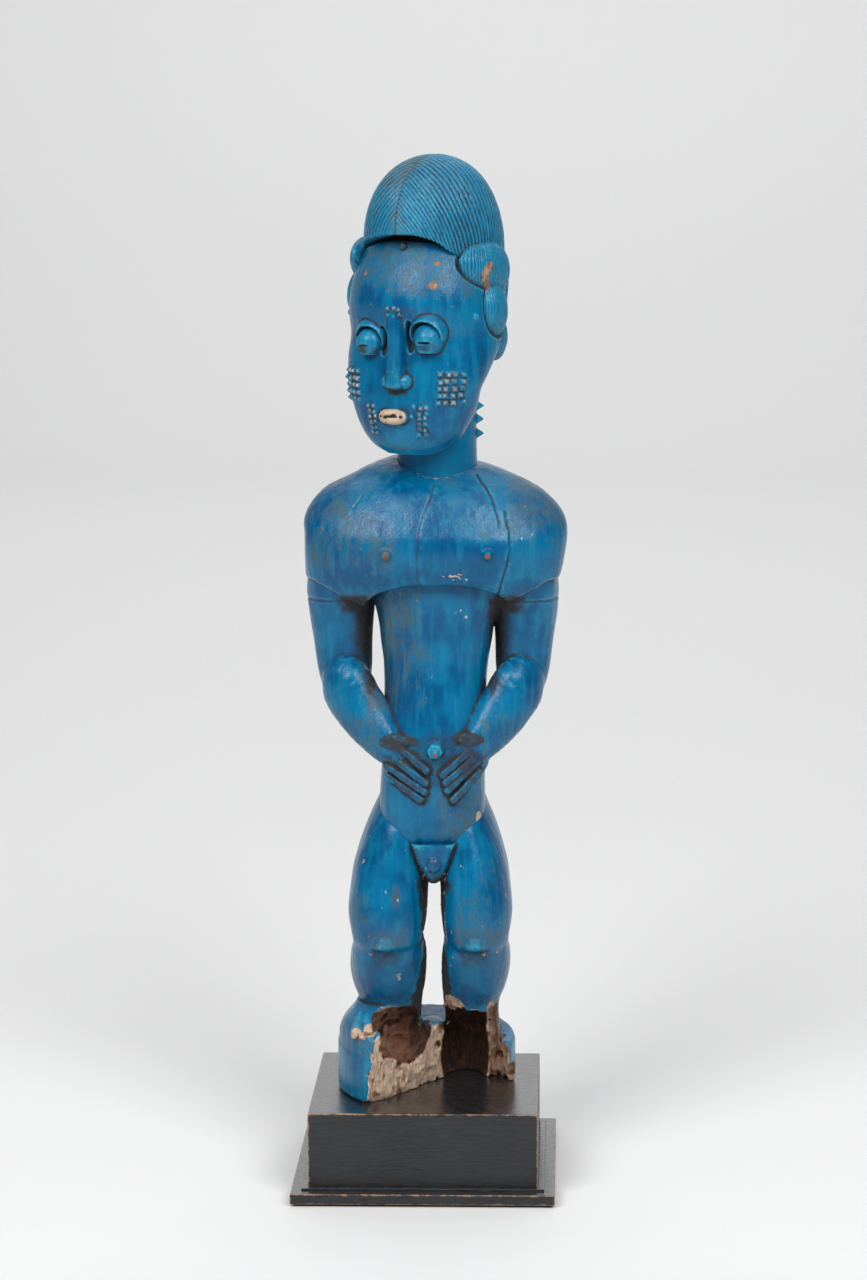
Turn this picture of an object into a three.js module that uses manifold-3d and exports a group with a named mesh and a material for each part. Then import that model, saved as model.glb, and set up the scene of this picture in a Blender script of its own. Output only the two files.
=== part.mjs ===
// A carved and blue-painted wooden standing male figure on its black two-step plinth.
// Millimetres, +Z up, the figure faces -Y. The origin is the middle of the plinth's underside.

import * as THREE from 'three';
import { mergeVertices } from 'three/addons/utils/BufferGeometryUtils.js';
import Module from 'manifold-3d';

const wasm = await Module();
wasm.setup();

// Driving dimensions of the plinth
const SLAB_WIDTH = 138;
const SLAB_DEPTH = 119;
const SLAB_HEIGHT = 7.2;
const SLAB_EDGE = 0.9;
const RECESS_INSET = 2.5;
const RECESS_HEIGHT = 1.4;
const BEAD_WIDTH = 3;
const BEAD_HEIGHT = 1.2;
const BEAD_GAP = 0.4;
const BLOCK_WIDTH = 120;
const BLOCK_DEPTH = 101;
const PLINTH_TOP = 48;
const BLOCK_EDGE = 1.1;

// Driving dimensions of the figure
const DISC_RADIUS = 47.5;
const DISC_TOP = 76;
const DISC_EDGE = 3;
const RIM_WIDTH = 2;
const LEG_MIDDLE = 3.6;
const LEG_SPREAD = 23;
const ARM_MIDDLE = 4.6;
const HAND_MIDDLE = 6.5;
const CHEST_EDGE = 323;
const NAVEL = [6.7, -31, 237.5];
const NECK_MIDDLE = [6.5, 2];
const NECK_RADIUS = 21;
const NECK_TOP = 440;
const HEAD_TURN = THREE.MathUtils.degToRad(-25);
const FACE_LEVEL = { eyes: 452, nose: 428, mouth: 410.5, mark: 463, knob: 495 };
const LEFT_EYE_DROP = 2.7;
const EYE_SPREAD = 16.2;
const CREST_RIM = 499;
const CREST_TOP = 540;
const CREST_HALF_WIDTH = 33.8;
const CREST_HALF_DEPTH = 43;
const CREST_STRANDS = 13;
const CREST_MIDDLE = [0.6, -1.5];
const CREST_FALL = 20;
const STRAND_DEPTH = 0.9;
const LOBE_RISE = 2.5;
const ARCH_MIDDLE = 7.75;
const ARCH_HALF_WIDTH = 38.5;
const ARCH_FOOT = 300;
const ARCH_SINK = 10;
const ARCH_SQUARENESS = 3;
const CUT_REACH = 60;
const BREAK_TOP = 94;

// Smallest steps that count
const SAME_POINT = 1e-4;
const NO_ANGLE = 1e-6;
const HALVINGS = 20;

// A body closed by construction: an open tube of columns and rows whose end rows each fall together
function skin(columns, rows, place) {
  const geometry = new THREE.CylinderGeometry(1, 1, 1, columns, rows, true);
  const position = geometry.attributes.position;
  for (let row = 0; row <= rows; row += 1) {
    for (let column = 0; column <= columns; column += 1) {
      const at = place((column % columns) / columns, row / rows);
      position.setXYZ(row * (columns + 1) + column, at[0], at[1], at[2]);
    }
  }
  return solid(geometry);
}

// Turns a closed three.js geometry into a solid that can be joined and cut
function solid(geometry) {
  const bare = geometry.clone();
  bare.deleteAttribute('normal');
  bare.deleteAttribute('uv');
  const merged = mergeVertices(bare, SAME_POINT);
  const index = merged.index.array;
  const kept = [];
  for (let i = 0; i < index.length; i += 3) {
    const [a, b, c] = [index[i], index[i + 1], index[i + 2]];
    if (a !== b && b !== c && c !== a) {
      kept.push(a, b, c);
    }
  }
  const mesh = new wasm.Mesh({
    numProp: 3,
    vertProperties: new Float32Array(merged.attributes.position.array),
    triVerts: new Uint32Array(kept),
  });
  mesh.merge();
  const body = new wasm.Manifold(mesh);
  return body.volume() < 0 ? new wasm.Manifold(flipped(mesh)) : body;
}

// The same mesh with every face turned over
function flipped(mesh) {
  const turned = mesh.triVerts.slice();
  for (let i = 0; i < turned.length; i += 3) {
    turned[i] = mesh.triVerts[i + 1];
    turned[i + 1] = mesh.triVerts[i];
  }
  return new wasm.Mesh({ numProp: 3, vertProperties: mesh.vertProperties, triVerts: turned });
}

// A smooth value between the rows of a table, at t from 0 to 1
function between(table, t) {
  const last = table.length - 1;
  const at = Math.min(Math.max(t, 0), 1) * last;
  const i = Math.min(Math.floor(at), last - 1);
  const w = at - i;
  const before = table[Math.max(i - 1, 0)];
  const after = table[Math.min(i + 2, last)];
  return table[i].map((value, n) => {
    const next = table[i + 1][n];
    const out = (next - before[n]) / 2;
    const back = (after[n] - value) / 2;
    const rise = next - value;
    return value + w * (out + w * (3 * rise - 2 * out - back + w * (out + back - 2 * rise)));
  });
}

// One signed power, which squares a circle off as the exponent grows
function squared(value, exponent) {
  return Math.sign(value) * Math.abs(value) ** (2 / exponent);
}

// A body of level sections: each row of the table is [z, middle x, half width, front y, back y, exponent]
function loft(table, columns, rows) {
  return skin(columns, rows + 2, (turn, t) => {
    const row = Math.round(t * (rows + 2));
    const [z, x, half, front, back, exponent] = between(table, (row - 1) / rows);
    const reach = row === 0 || row === rows + 2 ? 0 : 1;
    const angle = turn * 2 * Math.PI;
    const across = squared(Math.sin(angle), exponent) * half * reach;
    const along = squared(Math.cos(angle), exponent) * ((back - front) / 2) * reach;
    return [x + across, (front + back) / 2 + along, z];
  });
}

// A body along a bent path: each row is [x, y, z, radius across, radius up], square to the path
function limb(table, columns, rows) {
  const path = new THREE.CatmullRomCurve3(table.map(([x, y, z]) => new THREE.Vector3(x, y, z)));
  return skin(columns, rows + 2, (turn, t) => {
    const row = Math.round(t * (rows + 2));
    const part = Math.min(Math.max((row - 1) / rows, 0), 1);
    const reach = row === 0 || row === rows + 2 ? 0 : 1;
    const radii = between(table, part);
    const centre = new THREE.Vector3(...radii.slice(0, 3));
    const tangent = path.getTangent(part);
    const across = new THREE.Vector3(0, 0, 1).cross(tangent).normalize();
    const up = tangent.clone().cross(across);
    const angle = turn * 2 * Math.PI;
    centre.addScaledVector(across, Math.sin(angle) * radii[3] * reach);
    centre.addScaledVector(up, Math.cos(angle) * radii[4] * reach);
    return centre.toArray();
  });
}

// An ellipsoid with its middle and radii, turned about the upright axis and then tipped sideways
function ball(middle, radii, columns = 10, rows = 6, turn = 0, tip = 0) {
  const geometry = new THREE.SphereGeometry(1, columns, rows);
  geometry.rotateX(Math.PI / 2);
  geometry.scale(...radii);
  geometry.rotateY(tip);
  geometry.rotateZ(turn);
  geometry.translate(...middle);
  return solid(geometry);
}

// A small four-sided pyramid standing on a surface and pointing along a direction
function pyramid(middle, direction, width, height) {
  const geometry = new THREE.ConeGeometry(width * Math.SQRT1_2, height, 4);
  geometry.rotateY(Math.PI / 4);
  const away = new THREE.Vector3(...direction).normalize();
  geometry.applyQuaternion(new THREE.Quaternion().setFromUnitVectors(new THREE.Vector3(0, 1, 0), away));
  geometry.translate(...middle);
  return solid(geometry);
}

// A flat outline of straight edges raised between two levels
function prism(outline, low, high) {
  const shape = new THREE.Shape(outline.map(([x, y]) => new THREE.Vector2(x, y)));
  const geometry = new THREE.ExtrudeGeometry(shape, { depth: high - low, bevelEnabled: false });
  geometry.translate(0, 0, low);
  return solid(geometry);
}

// A block with sharp upright corners and eased top and bottom edges
function slab(width, depth, low, high, edge) {
  const half = [width / 2 - edge, depth / 2 - edge];
  const shape = new THREE.Shape();
  shape.moveTo(-half[0], -half[1]);
  shape.lineTo(half[0], -half[1]);
  shape.lineTo(half[0], half[1]);
  shape.lineTo(-half[0], half[1]);
  shape.closePath();
  const bevel = { bevelEnabled: true, bevelThickness: edge, bevelSize: edge, bevelSegments: 2 };
  const geometry = new THREE.ExtrudeGeometry(shape, { depth: high - low - 2 * edge, ...bevel });
  geometry.translate(0, 0, low + edge);
  return solid(geometry);
}

// Joins a list of bodies into one
function joined(bodies) {
  return bodies.reduce((sum, body) => sum.add(body));
}

// The mirror image of a body across an upright plane at the given x
function mirrored(body, middle) {
  return body.translate([-middle, 0, 0]).mirror([1, 0, 0]).translate([middle, 0, 0]);
}

// Turns and moves what is modelled facing -Y about the neck's axis to where the head looks
function onHead(body) {
  return body.rotate([0, 0, THREE.MathUtils.radToDeg(HEAD_TURN)]).translate([NECK_MIDDLE[0], 0, 0]);
}

// Trunk: a smooth column that swells a little towards the belly and closes in a round lower edge
function trunk() {
  const column = loft([
    [184, 4.2, 19, -24, 18, 2.2],
    [188, 4.2, 25, -28.5, 21, 2.3],
    [198, 4.1, 27.2, -31.5, 24, 2.4],
    [212, 4.1, 27.4, -32.5, 25, 2.4],
    [228, 4.6, 26.8, -32, 24, 2.4],
    [245, 5.2, 26.4, -30.5, 23, 2.4],
    [262, 5.7, 26.4, -28.5, 23, 2.4],
    [279, 6, 27.2, -26.5, 24, 2.4],
    [290, 6.4, 28.8, -26, 25, 2.5],
    [302, 6.7, 31, -26.2, 27, 2.5],
    [315, 8.7, 35.4, -27, 28.5, 2.6],
    [330, 9.5, 38, -28.5, 30, 2.6],
  ], 18, 10);
  const navel = joined([
    ball(NAVEL, [4.4, 5.2, 4.2], 8, 6),
    ball([NAVEL[0], NAVEL[1] - 4.4, NAVEL[2] - 1], [2.2, 2.6, 2.2], 8, 6),
  ]);
  return column.add(navel);
}

// Shoulders and chest: one broad rounded yoke whose lower edge arches over the trunk
function yoke() {
  const mass = loft([
    [308, 3.8, 61.5, -22, 25, 2.4],
    [316, 4.2, 64, -29, 28.5, 2.5],
    [325, 5.1, 66, -34.8, 31.5, 2.6],
    [336, 6, 67.4, -38.8, 33, 2.6],
    [346, 6.5, 68, -39, 33.5, 2.5],
    [354, 6, 67.6, -36, 33, 2.4],
    [362, 5.4, 63.5, -32, 31.5, 2.3],
    [370, 4.6, 55, -27, 29, 2.2],
    [376, 4.4, 42.5, -21, 27.5, 2.1],
    [381, 2.5, 31, -16, 26.5, 2],
    [385, -1, 16, -4, 22, 2],
  ], 20, 9);
  const under = skin(14, 3, (turn, t) => {
    const angle = turn * 2 * Math.PI;
    const step = Math.round(t * 3);
    const reach = step === 0 || step === 3 ? 0 : 1;
    const across = squared(Math.sin(angle), ARCH_SQUARENESS) * reach;
    const level = squared(Math.cos(angle), ARCH_SQUARENESS) * reach;
    const arch = level > 0 ? level * (CHEST_EDGE - ARCH_FOOT) : level * ARCH_SINK;
    const along = step < 2 ? -CUT_REACH : CUT_REACH;
    return [ARCH_MIDDLE + across * ARCH_HALF_WIDTH, along, ARCH_FOOT + arch];
  });
  const nipple = [-17.4, 34.2].map((x) => ball([x, -39.6, 340], [2.4, 2.4, 2.4], 8, 6));
  return joined([mass.subtract(under), ...nipple]);
}

// One arm, hanging to a bent elbow, with the thick forearm brought round to the belly, and its hand
function arm() {
  const upper = loft([
    [258, -39.5, 10, -2, 16, 2.2],
    [264, -40.6, 12.8, -6, 21, 2.3],
    [274, -41.6, 14.6, -9, 23, 2.3],
    [290, -42.3, 16, -10.5, 24, 2.3],
    [306, -42.6, 17.8, -15, 25.5, 2.3],
    [320, -42.2, 18.6, -22, 28, 2.3],
    [338, -40, 18, -24, 24, 2.2],
  ], 12, 6);
  const fore = limb([
    [-43, 10, 268.5, 8, 11],
    [-42.5, 2, 269.5, 11, 14],
    [-39.5, -7.5, 269, 13, 16.6],
    [-33, -13, 259, 13, 15.6],
    [-26, -17.5, 247.5, 11.6, 13.2],
    [-19, -22.5, 239, 9, 10.5],
    [-12, -26, 232, 5.5, 7.5],
    [-8, -27.5, 228.5, 3, 5],
  ], 10, 6);
  return upper.add(fore);
}

// Where the four fingers of the hand on the viewer's left start and end, the first one uppermost
const FINGERS = [
  [[-10.7, -28.5, 237.9], [3.2, -33, 226.6]],
  [[-17, -28, 234.4], [2.5, -33, 220.2]],
  [[-19.1, -27, 228.7], [2, -33, 215.6]],
  [[-18.5, -27, 223.3], [0.1, -32.5, 211.3]],
];

// A flat hand laid on the belly: a palm wedge, a thumb and four long straight fingers side by side
function hand() {
  const palm = limb([
    [-24, -19.5, 233, 4.5, 9.5],
    [-17, -24, 229.5, 4, 10.5],
    [-9, -28, 224.5, 3.4, 9.5],
  ], 10, 2);
  const thumb = ball([-11.5, -27.5, 241.5], [8, 3.6, 3.6], 8, 6, 0, 0.1);
  const fingers = FINGERS.map(([start, end]) => {
    const middle = start.map((value, n) => (value + end[n]) / 2);
    return limb([[...start, 2.2, 2], [middle[0], middle[1] - 0.8, middle[2], 2.6, 2.2], [...end, 1.6, 1.5]], 6, 3);
  });
  return joined([palm, thumb, ...fingers]);
}

// One leg: a thick thigh that ends in a knee ridge over a shorter calf
function leg(girth, lean) {
  const thigh = loft([
    [127, -LEG_SPREAD, 15 * girth, -27, 6, 2.2],
    [131.5, -LEG_SPREAD, 19 * girth, -34.5, 10, 2.3],
    [137, -LEG_SPREAD, 20 * girth, -36.5, 13, 2.3],
    [147, -LEG_SPREAD, 20.8 * girth, -36, 18, 2.3],
    [158, -LEG_SPREAD + 0.6, 20.6 * girth, -34.5, 24, 2.3],
    [170, -LEG_SPREAD + 2, 20.2 * girth, -32, 29.5, 2.3],
    [182, -LEG_SPREAD + 4.4, 19.2 * girth, -29, 33.5, 2.2],
    [194, -LEG_SPREAD + 7.6, 18 * girth, -25.5, 34, 2.2],
    [205, -LEG_SPREAD + 10.6, 15.5 * girth, -20, 31, 2.1],
    [214, -LEG_SPREAD + 13, 11 * girth, -12, 26, 2],
  ], 14, 8);
  const shank = loft([
    [72, -LEG_SPREAD + lean - 0.4, 17 * girth, -14, 25, 2.3],
    [84, -LEG_SPREAD + lean + 0.4, 16 * girth, -13.5, 22, 2.3],
    [95, -LEG_SPREAD + lean + 0.6, 16.6 * girth, -16.5, 19, 2.3],
    [104, -LEG_SPREAD + lean * 0.7, 18.8 * girth, -21.5, 24, 2.3],
    [114, -LEG_SPREAD + lean * 0.5 - 0.4, 20 * girth, -26, 26, 2.3],
    [124, -LEG_SPREAD + lean * 0.2, 19.6 * girth, -30, 21, 2.3],
    [132, -LEG_SPREAD + 0.4, 18 * girth, -31, 10, 2.3],
  ], 14, 6);
  return joined([thigh, shank]);
}

// The wedge between the thighs with its small round bulge
function groin() {
  const wedge = loft([
    [164, LEG_MIDDLE + 0.8, 5.6, -26.5, 20, 3],
    [176, LEG_MIDDLE + 0.8, 8.6, -29.5, 26, 3],
    [190, LEG_MIDDLE + 0.8, 12.4, -30.5, 28, 3],
  ], 12, 3);
  return wedge.add(ball([LEG_MIDDLE + 1, -28.5, 174.5], [4.4, 4.4, 4.8], 10, 6));
}

// Hips and buttocks behind the trunk
function hips() {
  return loft([
    [165, LEG_MIDDLE, 8, 4, 22, 2],
    [178, LEG_MIDDLE, 24, -6, 31, 2.2],
    [194, LEG_MIDDLE, 28, -12, 33, 2.3],
    [208, LEG_MIDDLE, 26, -12, 29, 2.3],
    [220, LEG_MIDDLE, 20, -10, 22, 2.2],
  ], 12, 4);
}

// The round base with the one foot that is left, its front and right side broken away and eaten hollow
function base() {
  const profile = [
    [0, PLINTH_TOP],
    [DISC_RADIUS - 1, PLINTH_TOP],
    [DISC_RADIUS, PLINTH_TOP + 1.5],
    [DISC_RADIUS, DISC_TOP - DISC_EDGE],
    [DISC_RADIUS - DISC_EDGE * 0.3, DISC_TOP - DISC_EDGE * 0.3],
    [DISC_RADIUS - DISC_EDGE, DISC_TOP],
    [0, DISC_TOP],
  ];
  const lathe = new THREE.LatheGeometry(profile.map(([r, z]) => new THREE.Vector2(r, z)), 32);
  lathe.rotateX(Math.PI / 2);
  const disc = solid(lathe);
  const drum = new THREE.CylinderGeometry(DISC_RADIUS - RIM_WIDTH, DISC_RADIUS - RIM_WIDTH, 80, 32);
  drum.rotateX(Math.PI / 2);
  drum.translate(0, 0, DISC_TOP + 20);
  const foot = loft([
    [70, -27.5, 20.5, -41, 24, 3.2],
    [78, -27, 19.5, -39.5, 23, 3],
    [83, -26, 18, -36, 22, 2.8],
    [88, -24, 16, -28.5, 20, 2.5],
    [95, -22.5, 14, -18, 16, 2.4],
  ], 16, 5).intersect(solid(drum));
  const toes = [0, 1, 2].map((n) => limb([
    [-32.5 + n * 5, -16, 88.5, 2.4, 2.2],
    [-36 + n * 6.2, -27 - n * 1.5, 85, 2.8, 2.8],
    [-37 + n * 6.6, -32 - n * 2.4, 82, 1.6, 1.8],
  ], 6, 2));
  return joined([disc, foot, ...toes]);
}

// What is missing from the round base: the front right of the disc and the two eaten hollows
function broken() {
  const outline = [
    [-29, -CUT_REACH],
    [-28.4, -36],
    [-21, -29.5],
    [-13, -21],
    [-4, -12],
    [2, -3],
    [8, 4.5],
    [14, 8],
    [24, 9.5],
    [31.5, 8],
    [38, 11],
    [45, 13.5],
    [CUT_REACH, 16],
    [CUT_REACH, -CUT_REACH],
  ];
  const missing = prism(outline, PLINTH_TOP - 5, BREAK_TOP);
  const footHollow = joined([
    ball([-12, -14, 80], [14.5, 15, 15], 10, 7, -0.6),
    ball([-20, -24, 80.5], [8, 13, 11], 8, 6, -0.7),
  ]);
  const sideHollow = joined([
    ball([21, 13, 58], [13, 18, 20], 10, 7, -0.2),
    ball([21.5, -1, 80], [12.6, 18, 16], 10, 7),
  ]);
  return joined([missing, footHollow, sideHollow]);
}

// Pairs of short raised studs down both sides of the neck
function neckStuds() {
  const studs = [412, 405.2, 397.8].flatMap((z) => [-1, 1].map((side) => {
    const stud = new THREE.ConeGeometry(2.6, 5.4, 8);
    stud.rotateZ(-side * Math.PI / 2);
    stud.translate(NECK_MIDDLE[0] + side * (NECK_RADIUS + 1.5), NECK_MIDDLE[1], z);
    return solid(stud);
  }));
  return joined(studs);
}

// The neck column
function neck() {
  const [x, y] = NECK_MIDDLE;
  const r = NECK_RADIUS;
  return loft([
    [366, x, r + 2, y - r - 2, y + r + 2, 2],
    [380, x, r + 0.6, y - r - 0.6, y + r + 0.6, 2],
    [NECK_TOP, x, r, y - r, y + r, 2],
  ], 20, 2);
}

// Level sections of the head, an egg that is flat below the brow, in its own frame that faces -Y
const SKULL = [
  [390.5, 0, 13, -35, -18, 2],
  [394, 0, 20, -38.5, -12, 2.1],
  [399, 0, 25.5, -40.7, -8, 2.1],
  [406, 0, 29.5, -42.3, -5, 2.2],
  [415, 0, 33.4, -43.2, -2, 2.2],
  [424, 0, 35.8, -43.2, -2, 2.2],
  [431, 0, 37.6, -42.8, 4, 2.2],
  [440, 0, 39, -42.4, 14, 2.2],
  [450, 0, 39.2, -42.6, 26, 2.2],
  [459, 0, 39.2, -45.4, 29, 2.2],
  [468, 0, 38.6, -47, 31, 2.2],
  [478, 0, 37, -45, 32, 2.2],
  [488, 0, 34.4, -40.4, 32, 2.2],
  [498, 0, 29.5, -33.5, 31, 2.2],
  [505, 0, 22, -24, 26, 2.1],
];

// The bare head
function skull() {
  return loft(SKULL, 20, 13);
}

// One eye: an arched heavy lid over a round ball, in a hollow beside the nose
function eye() {
  const z = FACE_LEVEL.eyes;
  const lid = ball([EYE_SPREAD, -35, z + 2.2], [10.4, 9.4, 10], 12, 7, 0.22);
  const slot = ball([EYE_SPREAD + 0.6, -45.8, z - 3.8], [8.8, 6, 7.6], 10, 6, 0.22);
  const iris = ball([EYE_SPREAD + 0.2, -35.4, z - 2], [8, 9.4, 6.6], 10, 6, 0.22);
  return lid.subtract(slot).add(iris);
}

// The hollow that the eye sits in
function socket() {
  return ball([EYE_SPREAD - 1.6, -44.5, FACE_LEVEL.eyes - 0.5], [10.6, 5, 12], 12, 6, 0.2);
}

// A long straight nose with round wings
function nose() {
  const low = FACE_LEVEL.nose - 3.6;
  const ridge = loft([
    [low, 0.6, 4.6, -47, -34, 2.4],
    [low + 2, 0.6, 5.4, -49.4, -34, 2.4],
    [low + 8, 0.5, 5.2, -49, -34, 2.4],
    [low + 18, 0.3, 4.8, -47.6, -34, 2.5],
    [low + 30, 0, 4.7, -46.8, -34, 2.5],
    [low + 43, 0, 4.6, -46, -34, 2.4],
  ], 8, 5);
  const wings = [-1, 1].map((side) => ball([0.9 + side * 4.5, -43, low + 3.9], [3.9, 4.8, 3.8], 8, 6));
  return joined([ridge, ...wings]);
}

// A small oval mouth held forward, with the line between the lips
function mouth() {
  const z = FACE_LEVEL.mouth;
  const lips = ball([-1.2, -42, z], [7.6, 5.6, 4.1], 10, 6);
  const line = ball([-1.2, -48, z], [5.6, 1.6, 0.7], 8, 4);
  return lips.subtract(line);
}

// Where the front of the skull is at a width and a height, and which way it faces there
function onSkull(u, z) {
  let low = 0;
  let high = 1;
  for (let i = 0; i < HALVINGS; i += 1) {
    const t = (low + high) / 2;
    if (between(SKULL, t)[0] < z) {
      low = t;
    } else {
      high = t;
    }
  }
  const [, , half, front, back, exponent] = between(SKULL, low);
  const depth = (back - front) / 2;
  const across = Math.abs(u / half) ** exponent;
  const y = (front + back) / 2 - depth * (1 - across) ** (1 / exponent);
  const aside = Math.sign(u) * across ** (1 - 1 / exponent) / half;
  const ahead = -((1 - across) ** (1 - 1 / exponent)) / depth;
  return { middle: [u, y, z], direction: [aside, ahead, 0] };
}

// Raised scar marks: a grid on each cheek, two columns beside the mouth and a small mark between the brows
function scars() {
  const marks = [];
  for (const side of [-1, 1]) {
    for (let column = 0; column < 4; column += 1) {
      for (let row = 0; row < 5; row += 1) {
        const at = onSkull(side * (21.2 + column * 3.3 - row * 0.3), 432 - row * 3.5);
        marks.push(pyramid(at.middle, at.direction, 3, 3));
      }
    }
    for (let column = 0; column < 2; column += 1) {
      for (let row = 0; row < 5; row += 1) {
        const at = onSkull(side * (13.6 + column * 3.2 - row * 0.3), 416 - row * 3.7);
        marks.push(pyramid(at.middle, at.direction, 2.8, 2.8));
      }
    }
  }
  for (let column = -1; column <= 1; column += 1) {
    for (let row = 0; row < 2; row += 1) {
      const at = onSkull(column * 3, FACE_LEVEL.mark + 1.4 - row * 3);
      marks.push(pyramid(at.middle, at.direction, 2.5, 2.6));
    }
  }
  return joined(marks);
}

// The dome of hair: strands fall from a middle parting to the rim, as alternate ridges and valleys
function crest() {
  const low = CREST_RIM;
  const columns = CREST_STRANDS * 4;
  const rows = 6;
  const middle = new THREE.Vector3(...CREST_MIDDLE, low);
  return skin(columns, rows + 3, (turn, t) => {
    const row = Math.round(t * (rows + 3));
    const side = turn < 0.5 ? 1 : -1;
    const along = turn < 0.5 ? turn * 2 : 2 - turn * 2;
    const down = Math.min(row / rows, 1);
    const parting = new THREE.Vector3(0, -Math.cos(along * Math.PI), Math.sin(along * Math.PI));
    const rim = new THREE.Vector3(side * Math.sin(along * Math.PI), -Math.cos(along * Math.PI), 0);
    const angle = parting.angleTo(rim);
    const aim = parting.clone();
    if (angle > NO_ANGLE) {
      aim.multiplyScalar(Math.sin((1 - down) * angle)).addScaledVector(rim, Math.sin(down * angle));
      aim.divideScalar(Math.sin(angle));
    }
    const sunk = row === 0 ? STRAND_DEPTH : (Math.round(turn * columns) % 2) * STRAND_DEPTH;
    const strand = row > rows ? 0 : sunk * Math.min(1, 6 * along, 6 * (1 - along));
    const inward = [1, 1, 0.86, 0][Math.max(row - rows, 0)];
    const x = aim.x * (CREST_HALF_WIDTH - strand) * inward;
    const y = aim.y * (CREST_HALF_DEPTH - strand) * inward;
    const rise = squared(aim.z, 2.15) * (CREST_TOP - low - strand);
    const tuck = row > rows ? -3 * (row - rows) : 0;
    const fall = along * CREST_FALL * (1 - aim.z) ** 2;
    return [middle.x + x, middle.y + y, middle.z + rise + tuck - fall];
  });
}

// Two lobes of hair over each temple, the upper one drawn out towards the brow, and the tail behind the jaw
function lobes() {
  const upper = limb([
    [17, -37.5, 486, 1.5, 2.5],
    [21.5, -34, 486.5, 4.5, 7],
    [27.5, -25, 486, 8.5, 11.5],
    [31.5, -11, 484, 11, 14.5],
    [32, 2, 482, 10, 14],
    [30, 10, 481, 6, 9],
  ], 12, 7);
  const lower = ball([34.2, -3.5, 463], [8, 13.5, 14], 10, 6, 0.25, -0.1);
  const tail = ball([32, 6, 447], [5.5, 9, 11], 8, 6, 0.2, 0.1);
  return joined([upper, lower, tail]);
}

// The hair behind, from the dome to the nape
function backHair() {
  return loft([
    [438, 0, 20, 0, 22, 2.1],
    [446, 0, 26, -2, 29, 2.1],
    [459, 0, 30.5, -4, 35, 2.1],
    [474, 0, 32, -6, 38, 2.1],
    [486, 0, 31.5, -10, 38.5, 2.1],
    [497, 0, 26, -8, 34, 2.1],
  ], 16, 5);
}

// The small knob at the middle of the hairline
function hairKnob() {
  return joined([
    ball([0, -35.5, FACE_LEVEL.knob], [3.2, 3.4, 2.8], 10, 6),
    ball([0, -41.5, CREST_RIM + 1.5], [2.4, 2.6, 2], 8, 6),
  ]);
}

// The whole head with its hair, turned to where it looks
function head() {
  const leftEye = mirrored(eye(), 0).translate([0, 0, -LEFT_EYE_DROP]);
  const leftSocket = mirrored(socket(), 0).translate([0, 0, -LEFT_EYE_DROP]);
  const bare = skull().subtract(joined([socket(), leftSocket]));
  const face = joined([bare, eye(), leftEye, nose(), mouth(), scars()]);
  const leftLobes = mirrored(lobes(), 0).translate([0, 0, LOBE_RISE]);
  const hair = joined([crest(), backHair(), hairKnob(), lobes(), leftLobes]);
  return onHead(face.add(hair));
}

// Fills the small pockets closed in between joined pieces by keeping only the largest closed shell
function filled(body) {
  const { vertProperties, triVerts } = body.getMesh();
  const owner = Int32Array.from({ length: vertProperties.length / 3 }, (_, i) => i);
  const root = (i) => {
    let at = i;
    while (owner[at] !== at) {
      at = owner[at];
    }
    return at;
  };
  for (let i = 0; i < triVerts.length; i += 3) {
    owner[root(triVerts[i + 1])] = root(triVerts[i]);
    owner[root(triVerts[i + 2])] = root(triVerts[i]);
  }
  const shells = new Map();
  for (let i = 0; i < triVerts.length; i += 3) {
    const shell = root(triVerts[i]);
    shells.set(shell, [...(shells.get(shell) ?? []), ...triVerts.slice(i, i + 3)]);
  }
  const largest = [...shells.values()].sort((a, b) => b.length - a.length)[0];
  const kept = new wasm.Mesh({ numProp: 3, vertProperties, triVerts: new Uint32Array(largest) });
  return new wasm.Manifold(kept);
}

// The figure, base and all, as the one carving it is
function figure() {
  const arms = joined([arm(), mirrored(arm(), ARM_MIDDLE), hand(), mirrored(hand(), HAND_MIDDLE)]);
  const legs = joined([
    leg(1, 0).translate([LEG_MIDDLE - 0.2, 0, 0]),
    mirrored(leg(0.91, 2.6), 0).translate([LEG_MIDDLE + 0.6, 0, 0]),
  ]);
  const body = joined([trunk(), yoke(), arms, neck(), neckStuds(), hips(), groin(), legs, head()]);
  return filled(joined([body, base()]).subtract(broken()));
}

// The block that the figure stands on
function block() {
  return slab(BLOCK_WIDTH, BLOCK_DEPTH, SLAB_HEIGHT, PLINTH_TOP, BLOCK_EDGE);
}

// The foot slab with its recessed underside and the raised bead round the block
function footSlab() {
  const plate = slab(SLAB_WIDTH, SLAB_DEPTH, RECESS_HEIGHT, SLAB_HEIGHT, SLAB_EDGE);
  const inset = 2 * RECESS_INSET;
  const recess = slab(SLAB_WIDTH - inset, SLAB_DEPTH - inset, 0, RECESS_HEIGHT + 2, 0.2);
  const gap = 2 * BEAD_GAP;
  const wide = gap + 2 * BEAD_WIDTH;
  const top = SLAB_HEIGHT + BEAD_HEIGHT;
  const bead = slab(BLOCK_WIDTH + wide, BLOCK_DEPTH + wide, SLAB_HEIGHT - 1, top, 0.5);
  const seat = slab(BLOCK_WIDTH + gap, BLOCK_DEPTH + gap, SLAB_HEIGHT, top + 2, 0.2);
  return joined([plate, recess, bead]).subtract(seat);
}

// A named mesh of a solid in its own material
function mesh(name, body, colour, roughness) {
  const { vertProperties, triVerts } = body.getMesh();
  const geometry = new THREE.BufferGeometry();
  geometry.setAttribute('position', new THREE.BufferAttribute(vertProperties, 3));
  geometry.setIndex(new THREE.BufferAttribute(triVerts, 1));
  geometry.computeVertexNormals();
  const material = new THREE.MeshStandardMaterial({ color: colour, roughness, metalness: 0 });
  const made = new THREE.Mesh(geometry, material);
  made.name = name;
  return made;
}

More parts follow.
